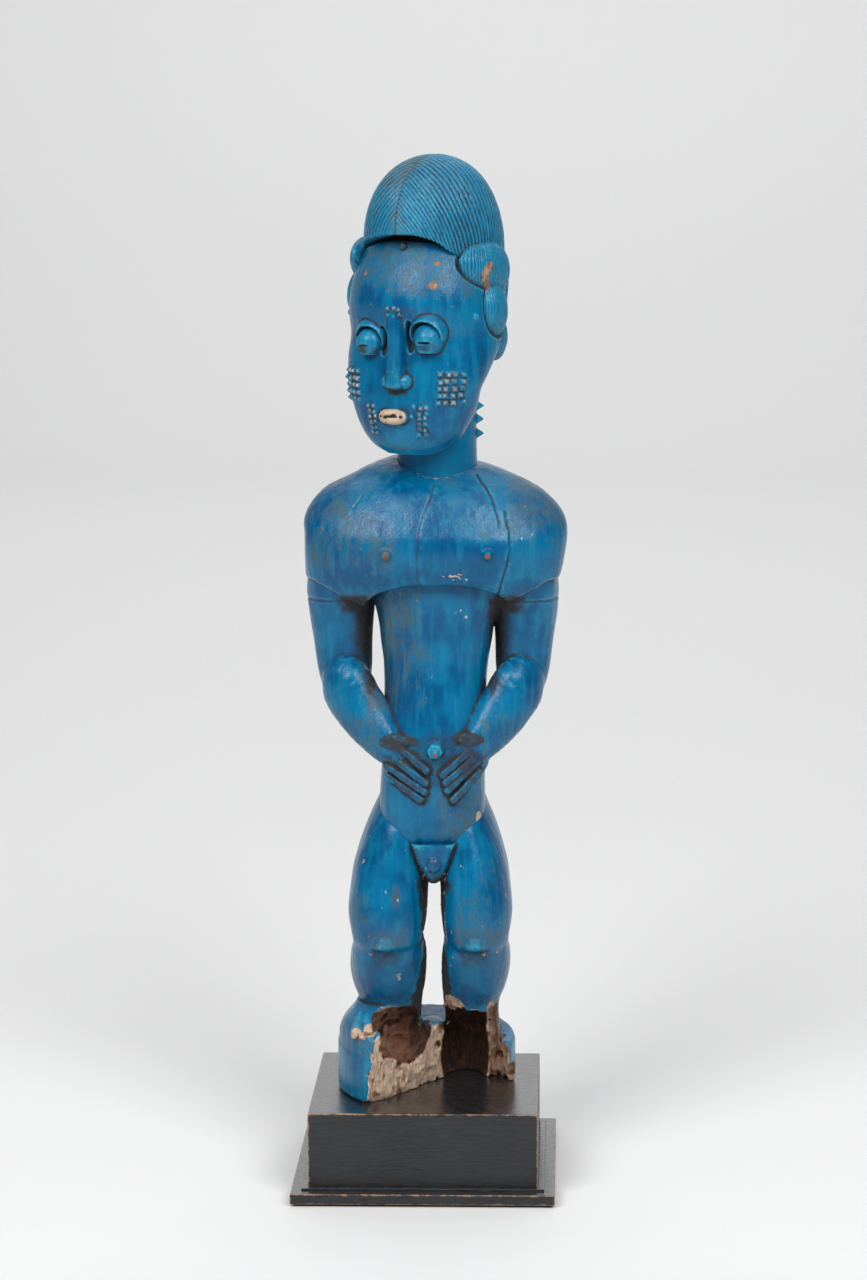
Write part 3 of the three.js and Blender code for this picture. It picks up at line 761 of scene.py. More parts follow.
def on_skull(u, z):
    """Where the front of the skull is at a width and a height, and which way it faces there."""
    rows = through(SKULL, 400)
    half, front, back, power = (np.interp(z, rows[:, 0], rows[:, i]) for i in (2, 3, 4, 5))
    depth = (back - front) / 2
    across = abs(u / half) ** power
    y = (front + back) / 2 - depth * (1 - across) ** (1 / power)
    aside = math.copysign(across ** (1 - 1 / power), u) / half
    ahead = -((1 - across) ** (1 - 1 / power)) / depth
    return (u, y, z), (aside, ahead, 0)


def carve_neck(block):
    x = NECK_MIDDLE[1] * math.sin(HEAD_TURN) + 0.8
    y = NECK_MIDDLE[1] * math.cos(HEAD_TURN) - 0.4
    r = NECK_RADIUS
    block.add(loft([
        [366, x, r + 2, y - r - 2, y + r + 2, 2],
        [380, x, r + 0.6, y - r - 0.6, y + r + 0.6, 2],
        [410, x, r, y - r, y + r, 2],
        [440, x, r, y - r, y + r, 2],
    ]))
    for z in STUDS:
        for side in (-1, 1):
            aim = (side * math.cos(HEAD_TURN), -side * math.sin(HEAD_TURN), 0)
            foot = (x + aim[0] * r, y + aim[1] * r, z)
            block.add(spike(foot, aim, 5.6, 4.4, square=False), 0.8)


def above(form, level):
    """What of a form lies above a level."""
    low = (form.low[0], form.low[1], max(form.low[2], level))
    return Form(lambda x, y, z: np.maximum(form.field(x, y, z), level - z), low, form.high)


def carve_eye(block, side):
    """A half-closed bulging eye: a heavy upper lid, the ball under its rim and a dark cut below."""
    size = 1 if side > 0 else 0.92
    x = EYE_SPREAD + (0.3 if side > 0 else -1)
    z = EYES - (0 if side > 0 else LEFT_EYE_DROP)

    def at(across, depth, rise, radii, turn=0.22):
        form = ball((x + across * size, depth, z + rise * size), [r * size for r in radii], turn)
        return on_side(side, above(form, z - 9.2 * size))

    block.cut(at(-8.6, -43, -1.5, (2.4, 5, 8.5), 0), 1)
    block.cut(at(3, -46, 0, (10.6, 4.6, 11)), 2)
    block.add(at(0, -38.4, 1.5, (9.8, 9.2, 10.2)), 0.4)
    block.cut(at(0.3, -44.2, -2.4, (8.4, 7.5, 9.2)), 0.2)
    block.add(at(0.3, -39, -2.7, (7.9, 9.2, 8.8)), 0.1)
    block.cut(at(0.2, -52.6, -8.6, (11, 7.6, 5.4)), 0.3)
    block.cut(at(0.2, -49.3, -3.9, (7, 3.2, 0.8)), 0.3)


def carve_nose(block):
    """A long straight flat-fronted ridge with small round wings."""
    low = NOSE - 3.6
    block.add(loft([
        [low, 0.9, 4.2, -47, -34, 2.4],
        [low + 2, 0.9, 5, -49.4, -34, 2.8],
        [low + 8, 0.9, 4.8, -49, -34, 3.2],
        [low + 18, 0.8, 4.4, -47.8, -34, 3.6],
        [low + 30, 0.7, 4.4, -47, -34, 3.6],
        [low + 40, 0.6, 4.4, -46.6, -34, 3.4],
    ]), 0.4)
    for side in (-1, 1):
        block.add(ball((0.9 + side * 4.5, -43, low + 3.9), (3.9, 4.8, 3.8)), 0.4)
        block.cut(ball((0.9 + side * 2.9, -45.8, low - 0.4), (1.7, 1.9, 1.5)), 0.3)


def carve_mouth(block):
    u = MOUTH_MIDDLE
    block.add(loft([
        [MOUTH - 3.9, u, 4.6, -44.8, -36, 2.2],
        [MOUTH - 2.7, u, 7.2, -47.2, -36, 2.2],
        [MOUTH, u, 8.4, -47.8, -36, 2.2],
        [MOUTH + 2.7, u, 7.2, -47.4, -36, 2.2],
        [MOUTH + 3.9, u, 4.6, -45, -36, 2.2],
    ]), 0.6)
    block.cut(ball((u + 0.2, -48.9, MOUTH + 0.3), (6.4, 2.6, 1)), 0.2)
    block.cut(ball((u + 1.8, -48.6, MOUTH + 0.9), (2, 2.4, 1.5)), 0.2)
    block.cut(ball((u - 3.2, -48.6, MOUTH - 0.6), (1.7, 2.2, 1.2)), 0.2)


def scar_places():
    """Each raised scar mark: its width and height over the face and its size."""
    # Side and inner edge; columns, rows; step aside, slant and step down; upper row; width and height
    grids = []
    for side, edge in ((-1, 23.8), (1, 23.4)):
        grids.append((side, edge, 4, 5, 3.1, 0.3, 3.45, 432, 3.3, 1.9))
        grids.append((side, 13.2, 2, 6, 3, 0.3, 2.7, 415.4, 2.9, 1.7))
    marks = []
    for side, edge, columns, rows, aside, slant, down, top, width, height in grids:
        for column in range(columns):
            for row in range(rows):
                marks.append((side * (edge + column * aside - row * slant), top - row * down, width, height))
    marks += [(9.4, 415.6, 2.4, 1.3), (8.4, 410.4, 2.4, 1.3)]
    for column in range(-1, 2):
        for row in range(2):
            marks.append((column * 2.8 + 0.7, BROW_MARK + 1.4 - row * 2.8, 2.5, 1.6))
    rng = np.random.default_rng(SCAR_SEED)
    return [mark + rng.normal(size=4) * (0.32, 0.32, 0.2, 0.3) for mark in marks]


def carve_head(block):
    carve_neck(block)
    block.add(loft(SKULL), 0.8)
    for side in (-1, 1):
        carve_eye(block, side)
    carve_nose(block)
    carve_mouth(block)
    for u, z, width, height in scar_places():
        place, direction = on_skull(u, z)
        block.add(spike(place, direction, width, height), 0.15)
    for side in (-1, 1):
        block.add(ball((side * 34.5, -24, 460.5), (2.6, 3, 2.6)), 0.5)


# Share of the way round to the nape, less than 0 to the head's right, and how far the rim has fallen
RIM_FALL = [
    (-1, 20), (-0.75, 15.5), (-0.5, 10.5), (-0.34, 5.6), (-0.217, 1.4), (-0.138, 0), (-0.05, -1.6),
    (0.06, -1.8), (0.123, -0.8), (0.167, 0.6), (0.211, 3), (0.26, 7), (0.33, 10.2), (0.5, 12.5),
    (0.75, 16), (1, 20),
]


def crest_rise(z, drop):
    """How high up the dome a level is, from 0 at the rim to 1 at the top."""
    share = (z + drop - CREST_RIM) / (CREST_TOP - CREST_RIM)
    return np.clip(share, 0, 1.2) ** 1.075


def crest_drop(across, along):
    """How far the rim lies below its level, by the direction from the crest's middle."""
    angle = np.arctan2(across, -along) / math.pi
    return np.interp(angle, *through(RIM_FALL, 80).T)


def crest_aim(x, y, z):
    """The direction from the crest's middle, stretched so that the dome becomes a unit ball."""
    across = (x - CREST_MIDDLE[0]) / CREST_HALF[0]
    along = (y - CREST_MIDDLE[1]) / CREST_HALF[1]
    drop = crest_drop(across, along)
    fall = np.zeros_like(drop)
    for _ in range(3):
        rise = crest_rise(z, fall)
        fall = drop * (1 - np.minimum(rise, 1)) ** 2
    return across, along, rise


def crest():
    u, v = CREST_MIDDLE

    def field(x, y, z):
        across, along, rise = crest_aim(x, y, z)
        share = np.sqrt(across ** 2 + along ** 2 + rise ** 2)
        offset = (x - u) ** 2 + (y - v) ** 2 + np.maximum(z - CREST_RIM, 0) ** 2
        dome = outside(np.sqrt(offset), share)
        rim = CREST_RIM - crest_drop(across, along)
        return -soft_min(-dome, z - rim, 1.6)

    low = (u - CREST_HALF[0], v - CREST_HALF[1], CREST_RIM - RIM_FALL[-1][1] - 1)
    return Form(field, low, (u + CREST_HALF[0], v + CREST_HALF[1], CREST_TOP))


UPPER_LOBE = [
    [30.4, -29.5, 488.5, 1.4, 2.4],
    [31, -25, 487, 3.8, 6.4],
    [31.6, -18, 485.2, 6.8, 10.6],
    [32, -9, 483.5, 8.8, 13.2],
    [31.8, 2, 482, 8.8, 13.4],
    [30, 10, 481, 6, 9],
]


def lobes(rise=0.0):
    """The three hair lobes of the side to the head's left, raised by a height."""
    shift = np.array([0, 0, rise, 0, 0])
    return [
        limb(np.array(UPPER_LOBE) + shift, 3),
        ball((34.6 + 0.6 * rise, -5, 464 + 2 * rise), (8, 13.5, 15), 0.25, -0.1),
        ball((32, 6, 447 + rise), (5.5, 9, 11), 0.25, 0.1),
    ]


def lobe_gap(x, y, z):
    """How far outside the lobes of both sides a place is."""
    shown = [form.field(x, y, z) for form in lobes()]
    mirror_side = [form.field(-x, y, z) for form in lobes(LOBE_RISE)]
    return np.min(shown + mirror_side, axis=0)


def carve_hair(block):
    block.add(loft(BACK_HAIR))
    block.add(crest(), 0.6)
    block.add(ball((1.5, -36.8, KNOB), (2.1, 2.6, 2.2)), 0.3)
    for lobe in lobes():
        block.add(lobe, 0.3)
    for lobe in lobes(LOBE_RISE):
        block.add(mirrored(lobe), 2.5)


# From grid to surface

Surface = namedtuple("Surface", "points quads")
# How far each round of smoothing pulls a point to its neighbours, and then pushes it back
SMOOTHING = (0.5, -0.52)


def surface_of(block):
    """The surface where the field is 0: a point in each crossed cell, a quad for each crossed edge."""
    value = block.value
    shape = np.array(value.shape)
    stride = np.array([shape[1] * shape[2], shape[2], 1])
    cells, crossings = [], []
    for axis in range(3):
        start = [slice(1, -1)] * 3
        start[axis] = slice(0, -1)
        end = list(start)
        end[axis] = slice(1, None)
        a, b = value[tuple(start)], value[tuple(end)]
        crossed = np.flatnonzero((a < 0) != (b < 0))
        index = np.stack(np.unravel_index(crossed, a.shape), 1)
        index += np.array([0 if i == axis else 1 for i in range(3)])
        a, b = a.ravel()[crossed], b.ravel()[crossed]
        place = index.astype(float)
        place[:, axis] += a / (a - b)
        u, v = stride[(axis + 1) % 3], stride[(axis + 2) % 3]
        around = (index @ stride)[:, None] + np.array([-u - v, -v, 0, -u])
        around[a > 0] = around[a > 0][:, ::-1]
        cells.append(around)
        crossings.append(place)
    cells = np.concatenate(cells)
    crossings = np.repeat(np.concatenate(crossings), 4, axis=0)
    _, quads = np.unique(cells.ravel(), return_inverse=True)
    count = np.bincount(quads)
    points = np.stack([np.bincount(quads, crossings[:, i]) / count for i in range(3)], 1)
    return Surface(block.low + block.cell * points, quads.reshape(-1, 4))


def edges_of(quads):
    pairs = [quads[:, [i, (i + 1) % 4]] for i in range(4)]
    return np.unique(np.sort(np.concatenate(pairs), axis=1), axis=0)


def neighbour_mean(values, edges):
    """The mean of each point's neighbours along the edges."""
    count = len(values)
    both = np.concatenate([edges, edges[:, ::-1]])
    degree = np.maximum(np.bincount(both[:, 0], minlength=count), 1)
    flat = values.reshape(count, -1)
    total = [np.bincount(both[:, 0], flat[both[:, 1], i], count) for i in range(flat.shape[1])]
    return (np.stack(total, 1) / degree[:, None]).reshape(values.shape)


def relaxed(points, edges):
    """Takes the grid's steps out of a surface without shrinking it."""
    for amount in SMOOTHING:
        points = points + amount * (neighbour_mean(points, edges) - points)
    return points


def normals_of(points, quads):
    corner = [points[quads[:, i]] for i in range(4)]
    face = np.cross(corner[2] - corner[0], corner[3] - corner[1])
    total = np.zeros_like(points)
    for i in range(4):
        for axis in range(3):
            total[:, axis] += np.bincount(quads[:, i], face[:, axis], len(points))
    return total / np.maximum(np.linalg.norm(total, axis=1), 1e-12)[:, None]


def out_of_head(points):
    """Points of the head's own frame, where the turned head really is."""
    c, s = math.cos(HEAD_TURN), math.sin(HEAD_TURN)
    x = points[:, 0] * c - points[:, 1] * s + NECK_MIDDLE[0]
    return np.stack([x, points[:, 0] * s + points[:, 1] * c, points[:, 2]], 1)


def mesh_object(name, points, faces):
    mesh = bpy.data.meshes.new(name)
    mesh.vertices.add(len(points))
    mesh.vertices.foreach_set("co", (points * MM).astype(np.float32).ravel())
    size = faces.shape[1]
    mesh.loops.add(len(faces) * size)
    mesh.loops.foreach_set("vertex_index", faces.astype(np.int32).ravel())
    mesh.polygons.add(len(faces))
    mesh.polygons.foreach_set("loop_start", np.arange(0, len(faces) * size, size, dtype=np.int32))
    mesh.polygons.foreach_set("use_smooth", np.ones(len(faces), bool))
    mesh.update(calc_edges=True)
    made = bpy.data.objects.new(name, mesh)
    bpy.context.scene.collection.objects.link(made)
    return made


def thinned(made):
    """The object with its flattest faces joined until it is under the limit on faces."""
    count = sum(len(p.vertices) - 2 for p in made.data.polygons)
    if count > MOST_FACES:
        modifier = made.modifiers.new("thin", "DECIMATE")
        modifier.ratio = MOST_FACES / count
        evaluated = made.evaluated_get(bpy.context.evaluated_depsgraph_get())
        mesh = bpy.data.meshes.new_from_object(evaluated)
        made.modifiers.clear()
        made.data = mesh
    return made


# Where grime and painted shade, painted edge highlights, wear and bare wood are

def whole_figure():
    """The whole carving on one coarse grid, for how sheltered each place is."""
    block = Block((-70, -60, 40), (82, 56, 548), CELL["whole"] * COARSE)
    carve_torso(block)
    carve_legs(block)
    for carve in (carve_head, carve_hair):
        part = block.on_head()
        part.value = np.full(block.value.shape, OUTSIDE, np.float32)
        carve(part)
        block.value = np.minimum(block.value, part.value)
    return block


def spread(values, reach):
    """The values averaged over a box of samples each way."""
    for axis in range(3):
        padding = [(0, 0)] * 3
        padding[axis] = (reach + 1, reach)
        total = np.cumsum(np.pad(values, padding, mode="edge"), axis=axis, dtype=np.float64)
        ahead, behind = [slice(None)] * 3, [slice(None)] * 3
        ahead[axis] = slice(2 * reach + 1, None)
        behind[axis] = slice(None, -(2 * reach + 1))
        values = (total[tuple(ahead)] - total[tuple(behind)]) / (2 * reach + 1)
    return values


def read(block, values, points):
    """The values of a grid at points, blended between samples."""
    at = (points - block.low) / block.cell
    at = np.clip(at, 0, np.array(values.shape) - 1.001)
    whole = at.astype(int)
    return sum(weight * values[tuple((whole + shift).T)] for shift, weight in corners(at - whole))


def shelter_grids():
    block = whole_figure()
    filled = np.clip(0.5 - block.value / block.cell, 0, 1)
    close = spread(filled, 1)
    return block, close, spread(spread(filled, 2), 3)


# How filled the space round each place is, which sets how much painted shade and how little painted highlight
# it gets
SHELTER_BLOCK, SHELTER_CLOSE, SHELTER_WIDE = shelter_grids()


# Fine relief: how far each point of a surface moves out, in millimetres

CRACKS = [
    [(6.4, 374), (3.8, 366), (1.3, 360), (-0.9, 350.5), (-1.8, 338), (-1.9, 326)],
    [(28, 378), (32.3, 373), (36.5, 366.4), (39, 359.6), (39.8, 353.7)],
    [(42.8, 361), (44.9, 352), (45.3, 342), (44, 335), (40.6, 324), (39, 318)],
    [(-27.7, 371.7), (-31, 367), (-34.4, 362.5)],
]
ARMLET = 312.5
STRAND_COUNT = 54
LOBE_STRANDS = 80
NAPE_STRANDS = 84


def gap_to_path(points, path):
    """How far points are from a drawn line, as seen from the front."""
    gaps = [gap_to_segment(points[:, 0], points[:, 2], a, b) for a, b in zip(path, path[1:])]
    return np.min(gaps, axis=0)


def crack_lines(points):
    """1 along the cracks of the chest, and 0 away from them."""
    shaky = points + 0.35 * noise(points, 4, 11)[:, None]
    lines = np.zeros(len(points))
    for path, deep in zip(CRACKS, (0.8, 1, 1, 0.45)):
        lines = np.maximum(lines, deep * groove(gap_to_path(shaky, path), 0.42))
    return lines * (points[:, 1] < -12)


def armlet_line(points):
    on_arm = step(31, 34, np.abs(points[:, 0] - ARM_MIDDLE))
    return on_arm * groove(points[:, 2] - ARMLET - 0.6 * noise(points, 25, 12), 0.7)


def torso_relief(points):
    cuts = 0.75 * crack_lines(points) + 0.5 * armlet_line(points)
    strokes = 0.16 * noise(points, 2.6, 21, (1, 1, 8)) + 0.28 * noise(points, 13, 22, (1, 1, 2))
    return strokes - cuts


def inner_legs(points):
    """1 on the rough faces between the legs."""
    x, _, z = points.T
    reach = 6.4 + 3.5 * step(125, 98, z) + 1.2 * noise(points, 6, 45)
    return step(reach + 1, reach - 1, np.abs(x - LEG_MIDDLE - 1)) * band(z, 82, 86, 164, 176)


def wedge_sides(points, width):
    """1 in the cuts that part the wedge between the thighs from them."""
    cuts = [groove(gap_to_path(points, path), width) for path in WEDGE_SIDES]
    return np.max(cuts, axis=0) * (points[:, 1] < 0)


def legs_relief(points):
    strokes = 0.14 * noise(points, 2.4, 23, (1, 1, 7)) + 0.3 * noise(points, 12, 24, (1, 1, 1.6))
    torn = 0.9 * inner_legs(points) * np.abs(layered(points, 4, 25))
    return strokes - torn - 0.6 * wedge_sides(points, 0.7)


def hairline(u):
    return 497.3 - 0.0068 * np.minimum(u, 0) ** 2 - 0.003 * np.maximum(u, 0) ** 2


def beside_lobes(points):
    """1 in the groove that parts the face from the hair lobes."""
    return step(2.3, 1.1, lobe_gap(*points.T)) * (points[:, 2] < 493)


def head_relief(points):
    scalp = step(0, 1.4, points[:, 2] - hairline(points[:, 0])) * step(0, -8, points[:, 1])
    return 0.1 * noise(points, 3, 26, (1, 1, 3)) - 1.1 * scalp - 0.9 * beside_lobes(points)


def strand(phase):
    """0 on the back of a strand and 1 in the cut beside it."""
    return (1 - np.abs(np.sin(math.pi * phase))) ** 1.7


def strand_start(x, across, along, rise):
    """Where along the parting the strand of a place starts, from 0 at the forehead to 1 at the nape."""
    fan = np.where(x < 0, 1.45, 0.95)
    return np.arctan2(fan * np.abs(across) + rise, -along) / math.pi


def hair_cuts(points):
    """The cuts between the strands: a herringbone from the parting, fans on the lobes, upright behind."""
    x, y, z = points.T
    across, along, rise = crest_aim(x, y, z)
    start = strand_start(x, across, along, rise)
    wavy = 0.12 * noise(points, 7, 27)
    falling = strand(start * STRAND_COUNT * np.where(x < 0, 0.62, 1) + wavy) * step(0.02, 0.1, start)
    parting = 0.8 * groove(across * CREST_HALF[0], 0.5)
    around = np.arctan2(y + 6, np.abs(x) - 24) / (2 * math.pi)
    fanned = strand(around * LOBE_STRANDS + wavy)
    behind = strand(np.arctan2(y, x) / (2 * math.pi) * NAPE_STRANDS + wavy)
    dome = np.abs(crest().field(x, y, z))
    on_lobe = np.abs(lobe_gap(x, y, z)) < np.minimum(dome, 1.2)
    cuts = np.where(dome < 1, np.maximum(falling, parting), behind)
    cuts = np.where(on_lobe, 0.6 * fanned, cuts)
    knob = np.hypot(x - 1.5, y + 37) < 5
    return np.where(knob & (z < CREST_RIM + 2), 0, cuts)


def hair_relief(points):
    return 0.08 * noise(points, 4, 28) - 0.7 * hair_cuts(points)


# Marks: how grimy and painted dark as shade, worn, bare and pale each point is, and how much its edges are
# painted lighter as highlight, from 0 to 1

# Middle and size of the bare spots of the chest and belly, and place and size of its specks as seen in front
TORSO_CHIPS = [
    ((-17.4, -42, 340), 1.6), ((34.2, -42, 340), 1.6), ((NAVEL[0] + 0.3, -40, NAVEL[2] - 2), 2.6),
    ((28.6, -19, 198.8), (1.3, 14, 3.6)), ((17.2, -34, 328.8), (3.4, 5, 0.45)),
    ((19.6, -34, 329.9), (1.6, 5, 0.5)),
]
TORSO_SPECKS = [
    (20.1, 309.6, 0.8), (22.7, 306.4, 0.9), (51.4, 348, 0.5), (56.4, 349.4, 0.5), (12, 329, 0.4),
    (20, 327.4, 0.4), (22, 328.6, 0.4), (18.6, 326.4, 0.35), (21.4, 325.8, 0.35), (23.4, 327, 0.3),
    (16.6, 327.2, 0.3),
]
HEAD_CHIPS = [
    ((20.2, -41, 476.4), (2, 9, 2)), ((-18.6, -41, 481.7), (1.5, 8, 1.8)), ((20, -38, 486.6), (1.7, 8, 1.3)),
]

# How pale bare wood is, from 0 for dark rot to 1 for fresh wood; the right hollow's tone is painted shade
BREAK_TONE = 0.96
CHIP_TONE = 0.82
OLD_TONE = 0.6
LEFT_HOLLOW_TONE = 0.42
RIGHT_HOLLOW_SHADE_TONE = 0.05

# The points of a piece, how sharply it bends at each, and the grid that it was drawn on
Sample = namedtuple("Sample", "points bend block")


def bend_of(points, normals, edges):
    """How sharply the surface curves, above 0 in a hollow and below 0 on a ridge, per millimetre."""
    length = np.linalg.norm(points[edges[:, 0]] - points[edges[:, 1]], axis=1)
    both = edges.T.ravel()
    count = np.maximum(np.bincount(both, minlength=len(points)), 1)
    mean = np.bincount(both, np.tile(length ** 2, 2), len(points)) / count
    bend = 4 * ((neighbour_mean(points, edges) - points) * normals).sum(axis=1) / np.maximum(mean, 1e-6)
    return neighbour_mean(neighbour_mean(bend, edges), edges)


def spot(points, middle, radius):
    """1 in a round spot, fading over its rim."""
    return step(1.25, 0.75, np.linalg.norm((points - middle) / radius, axis=1))


def spots(points, *places):
    """1 in round spots, each told by its middle and radius, fading over their rims."""
    return most(*(spot(points, middle, radius) for middle, radius in places))


def general_marks(at):
    """The painted shade of hollows and creases, where some grime also lies, and the painted highlights of
    ridges and open places, that every piece has.
    """
    close = read(SHELTER_BLOCK, SHELTER_CLOSE, at.points)
    wide = read(SHELTER_BLOCK, SHELTER_WIDE, at.points)
    # Painted shade darkens sheltered places and hollow creases, where some grime also lies; a painted
    # highlight lightens ridges and open places
    return SimpleNamespace(
        grime_and_shade=most(0.85 * step(0.6, 0.8, wide), 0.9 * step(0.16, 0.6, at.bend), 0.5 * step(0.62, 0.8, close)),
        edge=most(step(-0.12, -0.45, at.bend), 0.5 * step(0.42, 0.28, wide)),
    )


def torso_marks(at):
    points, bend, _ = at
    marks = general_marks(at)
    x, y, z = points.T
    aside = np.abs(x - ARM_MIDDLE)
    ragged = 3.5 * layered(points, 12, 61)
    reach = 39 - 4.5 * step(290, 272, z) + ragged
    inner = step(reach + 7, reach - 6, aside) * step(27, 31, aside) * band(z, 256, 272, 310, 320)
    under_cap = step(56, 40, aside + ragged) * step(30, 34, aside) * band(z, 303, 309, 314, 321)
    thumb_places = [((-12, -5.6, 241.5), (9.5, 12, 4.6)), ((23.5, -5.6, 243), (8.5, 12, 4.4))]
    thumbs = spots(points * (1, 0.2, 1), *thumb_places) + 0.7 * layered(points, 5, 65)
    thumbs = step(0.3, 0.7, thumbs) * (y < -12)
    fingers = [finger(*ends).field(x, y, z) for ends in LEFT_FINGERS + RIGHT_FINGERS]
    hands = step(3.2, 0.4, np.min(fingers, axis=0)) * (y < -24)
    between = spot(points, (HAND_MIDDLE, -32, 232), (13, 12, 16))
    between *= 1 - spot(points, (NAVEL[0], -37, NAVEL[2]), (5, 9, 5))
    nipples = spots(points, *(((u, -39, NIPPLE_HEIGHT), (7, 8, 7)) for u in NIPPLES))
    # Painted shade: the armpits and inner sides of the upper arms, under the shoulder caps and the creases
    # between the fingers are painted dark, and the belly between the hands darker; the thumbs and hands also
    # carry dirt, and the cracks and the armlet line are dark
    marks.grime_and_shade = most(
        marks.grime_and_shade, 0.95 * inner, 0.95 * under_cap, 0.7 * thumbs, 0.42 * between, crack_lines(points),
        0.6 * armlet_line(points), hands * step(0.02, 0.3, bend),
        0.56 * hands * step(-0.9, 0.1, layered(points, 3, 66)),
    ) * (1 - 0.8 * nipples)
    # The painted edge highlight keeps only to the sharpest ridges of the hands and stays off the nipples
    marks.edge = np.where(hands > 0.2, 0.45 * step(-0.55, -0.95, bend), marks.edge) * (1 - nipples)
    shoulder = step(330, 362, z) * step(28, 46, aside)
    breast = spot(points, (-34, -28, 343), (28, 24, 22))
    belly = (aside < 33) * band(z, 246, 262, 316, 326) * step(26, -14, x)
    low_belly = (aside < 30) * band(z, 184, 190, 210, 222) * step(-6, 12, x)
    forearm = step(262, 250, z) * step(23, 27, aside)
    marks.wear = most(
        0.14, 0.8 * shoulder, 0.7 * breast, 0.8 * belly, 0.7 * low_belly, 0.6 * forearm,
        0.45 * step(326, 350, z),
    )
    ring = groove(np.hypot(x - NECK_FOOT[0], y - NECK_FOOT[1]) - NECK_RADIUS - 1.2, 0.7) * (z > 364)
    specks = spots(points * (1, 0, 1), *(((u, 0, level), size) for u, level, size in TORSO_SPECKS))
    specks = specks * (y < -8)
    marks.bare = most(spots(points, *TORSO_CHIPS), specks, 0.5 * ring)
    marks.tone = np.where(specks + (np.abs(z - 328.8) < 3) > 0.1, 1, 0.44 + 0.3 * ring + 0.5 * (z < 205))
    return marks


def legs_marks(at):
    points = at.points
    marks = general_marks(at)
    x, y, z = points.T
    hollows = [form.field(x, y, z) for form in eaten()]
    cut = np.min([missing().field(x, y, z), *hollows], axis=0)
    depth = -read(at.block, at.block.whole, points)
    torn = most(step(0.5, 1.1, depth + 0.5 * layered(points, 3, 52)), step(0.7, 0.3, cut))
    chips = spots(points, *CHIPS)
    ankle = spots(points, ((12.5, -15, 96), (7, 8, 5)), ((34.5, -9, 92), (2.6, 8, 6)))
    ankle = step(0.4, 0.6, ankle + 0.9 * layered(points, 3, 53))
    marks.bare = most(torn, chips, ankle)

    blotch = layered(points, 6, 54)
    in_left = step(1.6, 0.4, np.min(hollows[:2], axis=0)) * step(8, 4, x)
    in_right = step(1.6, 0.4, np.min(hollows[2:4], axis=0)) * step(5, 8, x)
    # Painted shade: the right hollow's wood is painted almost black, and the left hollow's darker further
    # back; the left hollow is also darker to its right
    left_tone = LEFT_HOLLOW_TONE - 0.3 * step(-16, -4, x) - 0.1 * step(-6, 2, y)
    tone = mixed(BREAK_TONE, left_tone, in_left)
    tone = mixed(tone, RIGHT_HOLLOW_SHADE_TONE, in_right)
    tone = mixed(tone, OLD_TONE, step(32, 33.5, x + blotch))
    tone = np.where((ankle > 0.3) & (depth < 1), OLD_TONE, tone)
    tone = np.where(chips > 0.3, CHIP_TONE, tone)
    marks.tone = np.clip(tone + 0.14 * blotch - 0.4 * worm_holes(points), 0.02, 1)

    bulge = spot(points, (5.6, -33, 176.5), (5, 6, 5.4)) * 0.4
    rim = 1 - spot(points, (3.5, 0, 80), (14, 22, 12))
    # The painted edge highlight is kept off the broken wood, the foot of the base, the rim behind the legs
    # and the wedge's bulge
    marks.edge *= step(0.5, 2.5, cut) * step(49, 51.5, z) * rim * (1 - step(0.05, 0.3, bulge))
    under_knee = band(z, 108, 126, 130, 133) * step(13, 5, np.abs(np.abs(x - LEG_MIDDLE) - LEG_SPREAD))
    fork = spot(points, (5.4, -28, 163.5), (9, 12, 6))
    wall_end = band(x, -10, -6, 0, 4) * band(z, 74, 78, 98, 108) * step(4, -2, y)
    knee_step = band(z, 125, 129, 132, 136) * step(-8, -16, y)
    # Painted shade: between the legs, under the knees, where brown dirt also lies, in the fork under the
    # wedge and in the cuts beside it, lighter on the knees' step; the shins are painted darker towards the
    # ankles, and the wedge's bulge and the end of the base's wall darker too
    marks.grime_and_shade = most(
        marks.grime_and_shade * (1 - 0.7 * knee_step), 0.95 * inner_legs(points), 0.5 * under_knee,
        0.4 * band(z, 88, 97, 100, 112), 0.3 * band(z, 90, 98, 122, 131), bulge, 0.95 * fork,
        0.8 * wedge_sides(points, 0.6), wall_end,
    ) * (1 - 0.9 * marks.bare)

    knees = step(-28, -33, y) * band(z, 131, 135, 141, 152)
    worn = spots(points, ((-31, -36, 148), (4, 9, 5)), ((-14, -34, 160), (3, 9, 8)))
    thigh_front = spot(points, (25, -34, 150), (9, 12, 11))
    back_rim = step(70, 74, z) * step(39, 45, np.hypot(x, y))
    marks.wear = most(0.16, 0.75 * knees, 0.8 * worn, 0.48 * thigh_front, 0.6 * back_rim)
    return marks


def into_head(points):
    x, y, z = points.T
    return np.stack([*to_head(x, y), z], 1)


